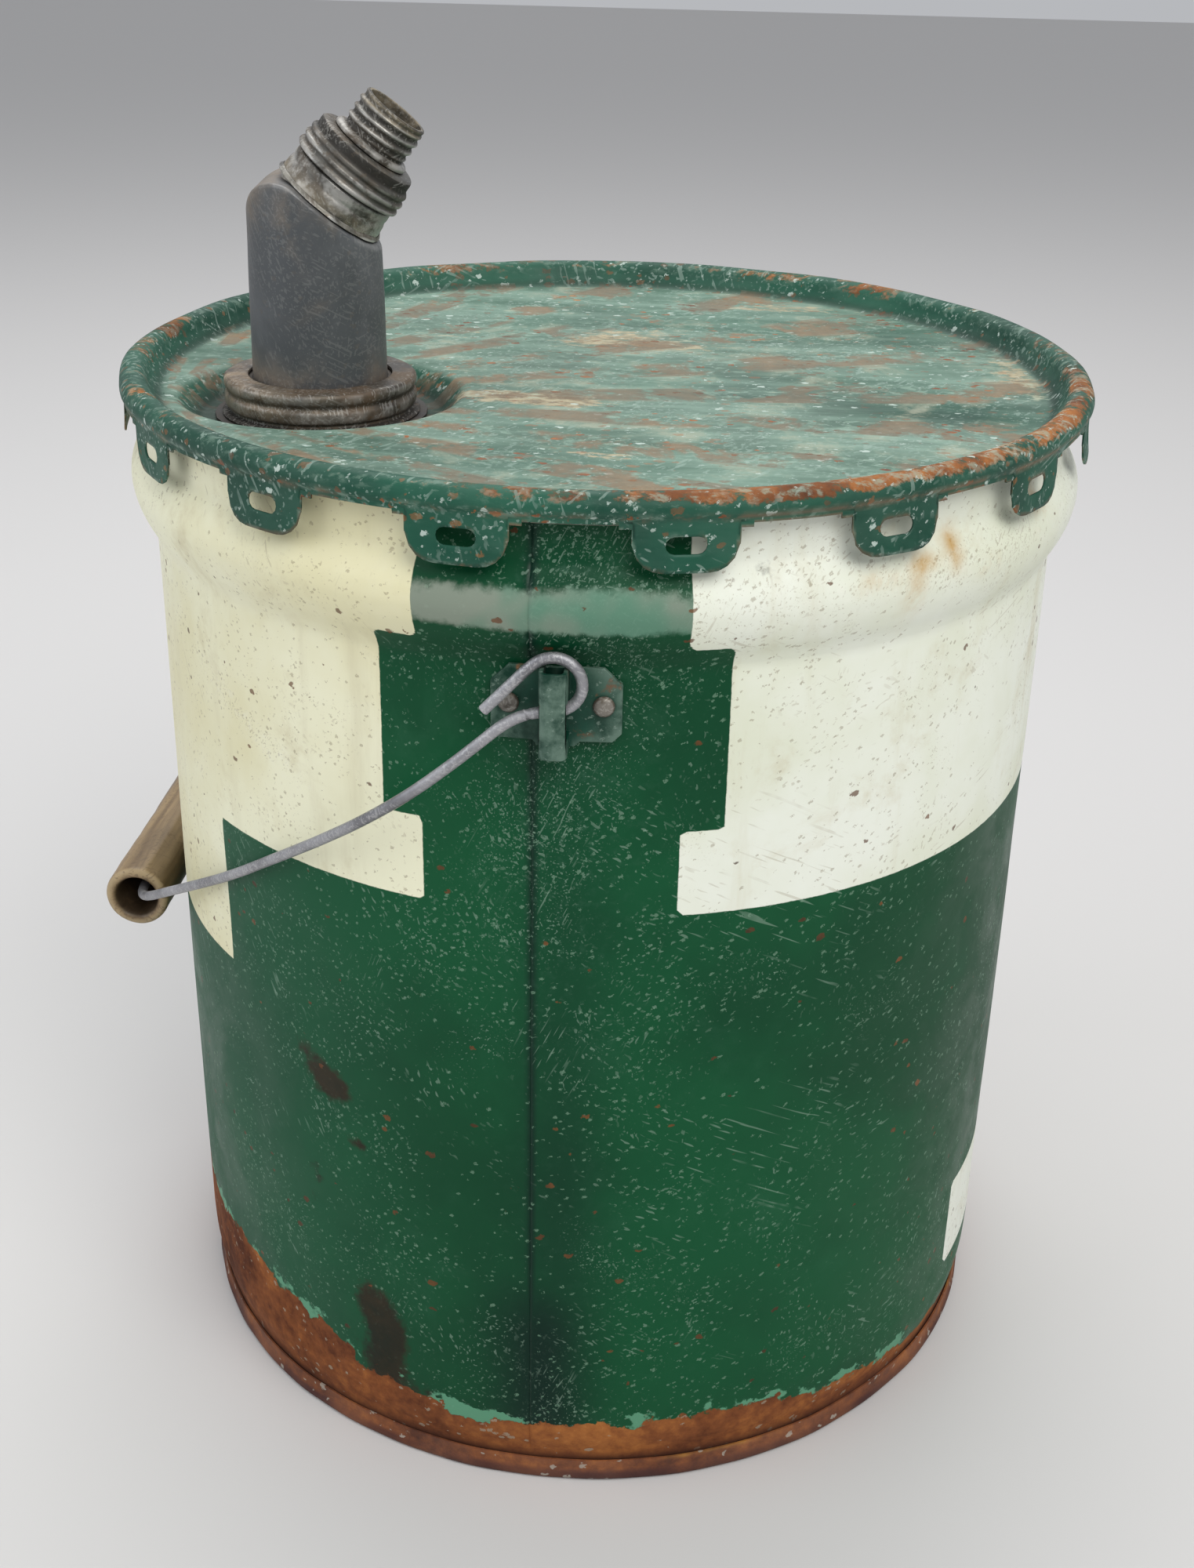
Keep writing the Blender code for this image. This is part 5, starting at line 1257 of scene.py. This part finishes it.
def buildGrip():
    # a thick tube turned about its own axis, waisted in the middle, with one low ridge along it
    half, radius, bore = grip["half"], grip["radius"], grip["bore"]
    loop = np.array([(bore + 0.9, half), (radius - 1.4, half), (radius - 0.3, half - 0.5),
                     (radius, half - 1.6)])
    loop = np.vstack([loop, loop[::-1] * [1, -1], [(bore, -half + 2.0), (bore, half - 2.0)]])
    loop = easedLoop(loop, 0.8, 2)

    def worn(r, z, a):
        ridge = 0.35 * bump((a - 1.9 + math.pi) % (2 * math.pi) - math.pi, 0.10) * (r > 10 * mm)
        swell = -0.25 * bump(z, 22 * mm) + 0.06 * ripple(a * 11, z / mm, 61, 12)
        return r + (swell + ridge) * (r > 9 * mm) * mm, z

    centre = np.array(joints["grip_spin"]["pos_m"])
    grid = turnedGrid(loop * mm, roundAngles(grip["columns"]), centre, (0, 1, 0), worn)
    away = np.hypot(grid[..., 0] - centre[0], grid[..., 2] - centre[2]) / mm
    far = np.abs(grid[..., 1]) / mm
    fields = {"high": smoothStep(half - 2.2, half - 0.6, far) * smoothStep(8.2, 9.5, away),
              "groove": 1 - smoothStep(7.3, 8.2, away)}
    gridPiece("gripWood", "handle", grid, buildGripWood(), alongClosed=True,
              fields=fields, replaced=["grip"])


buildGrip()


def buildEarPaint():
    # dark green enamel, pale where an edge stands out, with rust and dust
    made, tree, shader, place = startMaterial("earPaint")
    cloud = noise(tree, place, 70, 6, 0.65)
    base = mixed(tree, spread(tree, cloud, 0.35, 0.65), colour(0.0015, 0.034, 0.019),
                 colour(0.005, 0.060, 0.036))
    wear = spread(tree, put(tree, "ShaderNodeNewGeometry").outputs["Pointiness"], 0.505, 0.56)
    worn = times(tree, wear, spread(tree, cloud, 0.36, 0.58))
    base = layer(tree, base, worn, 0.5, colour(0.22, 0.31, 0.25))
    rust = useGroup(tree, rustSkin, Vector=place, Warmth=0.45)
    base = layer(tree, base, spread(tree, noise(tree, place, 120, 5, 0.6), 0.62, 0.70), 0.6,
                 rust["Color"])
    dust = useGroup(tree, flecks, Vector=place, Scale=900.0, Share=0.25, Size=0.36,
                    Gather=60.0)["Mask"]
    base = layer(tree, base, dust, 0.5, colour(0.20, 0.28, 0.23))
    finishMaterial(tree, shader, base, spread(tree, cloud, 0.3, 0.7, 0.40, 0.65), cloud,
                   strength=0.4, distance=0.3 * mm)
    shader.inputs["Specular IOR Level"].default_value = 0.3
    return made


def buildEar(name, node, material):
    # the stamped ear's own solid, its flat faces joined and its edges rounded
    source = frame["nodes"][node]
    mesh = source.data.copy()
    mesh.name = name
    tidy = bmesh.new()
    tidy.from_mesh(mesh)
    bmesh.ops.remove_doubles(tidy, verts=tidy.verts, dist=2e-6)
    bmesh.ops.dissolve_limit(tidy, angle_limit=math.radians(2), verts=tidy.verts, edges=tidy.edges)
    bmesh.ops.recalc_face_normals(tidy, faces=tidy.faces)
    tidy.to_mesh(mesh)
    tidy.free()
    mesh.materials.clear()
    mesh.materials.append(material)
    mesh.shade_smooth()
    mesh.set_sharp_from_angle(angle=math.radians(35))
    piece = bpy.data.objects.new(name, mesh)
    bpy.context.scene.collection.objects.link(piece)
    soft = piece.modifiers.new("edges", "BEVEL")
    soft.width = 0.28 * mm
    soft.segments = 2
    soft.limit_method = "ANGLE"
    soft.angle_limit = math.radians(40)
    soft.use_clamp_overlap = True
    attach(piece, "pail")
    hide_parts(node)


earPaint = buildEarPaint()
buildEar("earFront", "ear_front", earPaint)
buildEar("earRear", "ear_rear", earPaint)

rivet = {"head": 3.0, "shank": 1.6, "out": 147.6, "rise": 1.5, "in": 144.3, "spacing": 25.8}


def buildRivets():
    # a domed head outside, a shank and a flat head inside, turned about the outward direction
    for side, turn in (("front", 0.0), ("rear", math.pi)):
        for place, sign in (("left", -1), ("right", 1)):
            low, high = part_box(f"rivet_{side}_{place}")
            bearing = turn + sign * math.asin(rivet["spacing"] / 2 / 147.3)
            outward = np.array([math.sin(bearing), -math.cos(bearing), 0.0])
            centre = np.array([0, 0, (low[2] + high[2]) / 2])
            head, out, rise, shank, inside = (rivet[key] for key in ("head", "out", "rise", "shank",
                    "in"))
            dome = np.array([(head * math.sin(t),
                              out + rise * math.cos(t)) for t in np.linspace(0.0, 1.5, 12)])
            loop = np.vstack([dome, [(head, out), (shank, out), (shank, inside), (head, inside),
                                     (head - 0.3, inside - 0.7),
                                     (0.0, inside - 0.9)]])
            grid = turnedGrid(loop * mm, roundAngles(32), centre, outward)
            # the crown takes the metal's painted highlight
            crown = np.broadcast_to((loop[:, 1:2] > out + 0.7) * 1.0, grid.shape[:2])
            gridPiece(f"rivet{side.title()}{place.title()}", "pail", grid, brown,
                      fields={"high": crown, "groove": 0 * crown, "tint": 0 * crown},
                      replaced=[f"rivet_{side}_{place}"])


buildRivets()
for node in ("lid_gasket", "neck_gasket", "spout_gasket", "cap_gasket"):
    shown = frame["nodes"][node]
    shown.data.materials.clear()
    shown.data.materials.append(rubber)
print("bail, grip and ears built")


def buildFloor():
    # one flat square
    size = 6.0
    mesh = bpy.data.meshes.new("floor")
    mesh.from_pydata([(-size, -size, 0), (size, -size, 0), (size, size, 0), (-size, size, 0)], [],
                     [(0, 1, 2, 3)])
    floor = bpy.data.objects.new("floor", mesh)
    bpy.context.scene.collection.objects.link(floor)
    made = bpy.data.materials.new("paleFloor")
    made.use_nodes = True
    shader = made.node_tree.nodes["Principled BSDF"]
    shader.inputs["Base Color"].default_value = colour(0.62, 0.61, 0.60)
    shader.inputs["Roughness"].default_value = 0.8
    mesh.materials.append(made)


lights = {
    # name: place, where it points, size, power, colour
    "key": ((0.75, -1.15, 1.75), (0, 0, 0.25), 1.3, 26.0, (1.0, 0.98, 0.95)),
    "left": ((-1.5, -0.7, 1.1), (0, 0, 0.25), 1.4, 10.0, (0.93, 0.96, 1.0)),
    "top": ((-0.2, 0.9, 1.9), (0, 0, 0.30), 1.5, 20.0, (1.0, 1.0, 1.0)),
}


def buildLights():
    # soft square lamps that face their targets, and an even pale surround
    for name, (place, target, size, power, tint) in lights.items():
        data = bpy.data.lights.new(name, "AREA")
        data.size, data.energy, data.color = size, power, tint
        lamp = bpy.data.objects.new(name, data)
        lamp.location = place
        lamp.rotation_euler = (Vector(place) - Vector(target)).to_track_quat("Z", "Y").to_euler()
        bpy.context.scene.collection.objects.link(lamp)
    world = bpy.data.worlds.new("studio")
    world.use_nodes = True
    world.node_tree.nodes["Background"].inputs["Color"].default_value = colour(0.86, 0.88, 0.92)
    world.node_tree.nodes["Background"].inputs["Strength"].default_value = 0.55
    bpy.context.scene.world = world


view = {"place": (50.69, -630.01, 491.56), "heading": 4.642, "down": 25.716, "roll": 1.1326,
        "lens": 45.28}


def buildCamera():
    # the direction from heading and tilt, then its right and up turned by the roll
    heading, down, roll = (math.radians(view[key]) for key in ("heading", "down", "roll"))
    ahead = Vector((-math.sin(heading) * math.cos(down), math.cos(heading) * math.cos(down),
                    -math.sin(down)))
    right = ahead.cross(Vector((0, 0, 1))).normalized()
    up = right.cross(ahead)
    across = right * math.cos(roll) + up * math.sin(roll)
    above = up * math.cos(roll) - right * math.sin(roll)
    data = bpy.data.cameras.new("camera")
    data.lens, data.sensor_width, data.clip_start = view["lens"], 36.0, 0.01
    camera = bpy.data.objects.new("camera", data)
    turn = Matrix((across, above, -ahead)).transposed().to_4x4()
    camera.matrix_world = Matrix.Translation(Vector(view["place"]) * mm) @ turn
    bpy.context.scene.collection.objects.link(camera)
    bpy.context.scene.camera = camera


bpy.context.scene.view_settings.view_transform = "Standard"
buildFloor()
buildLights()
buildCamera()
bpy.context.view_layer.update()
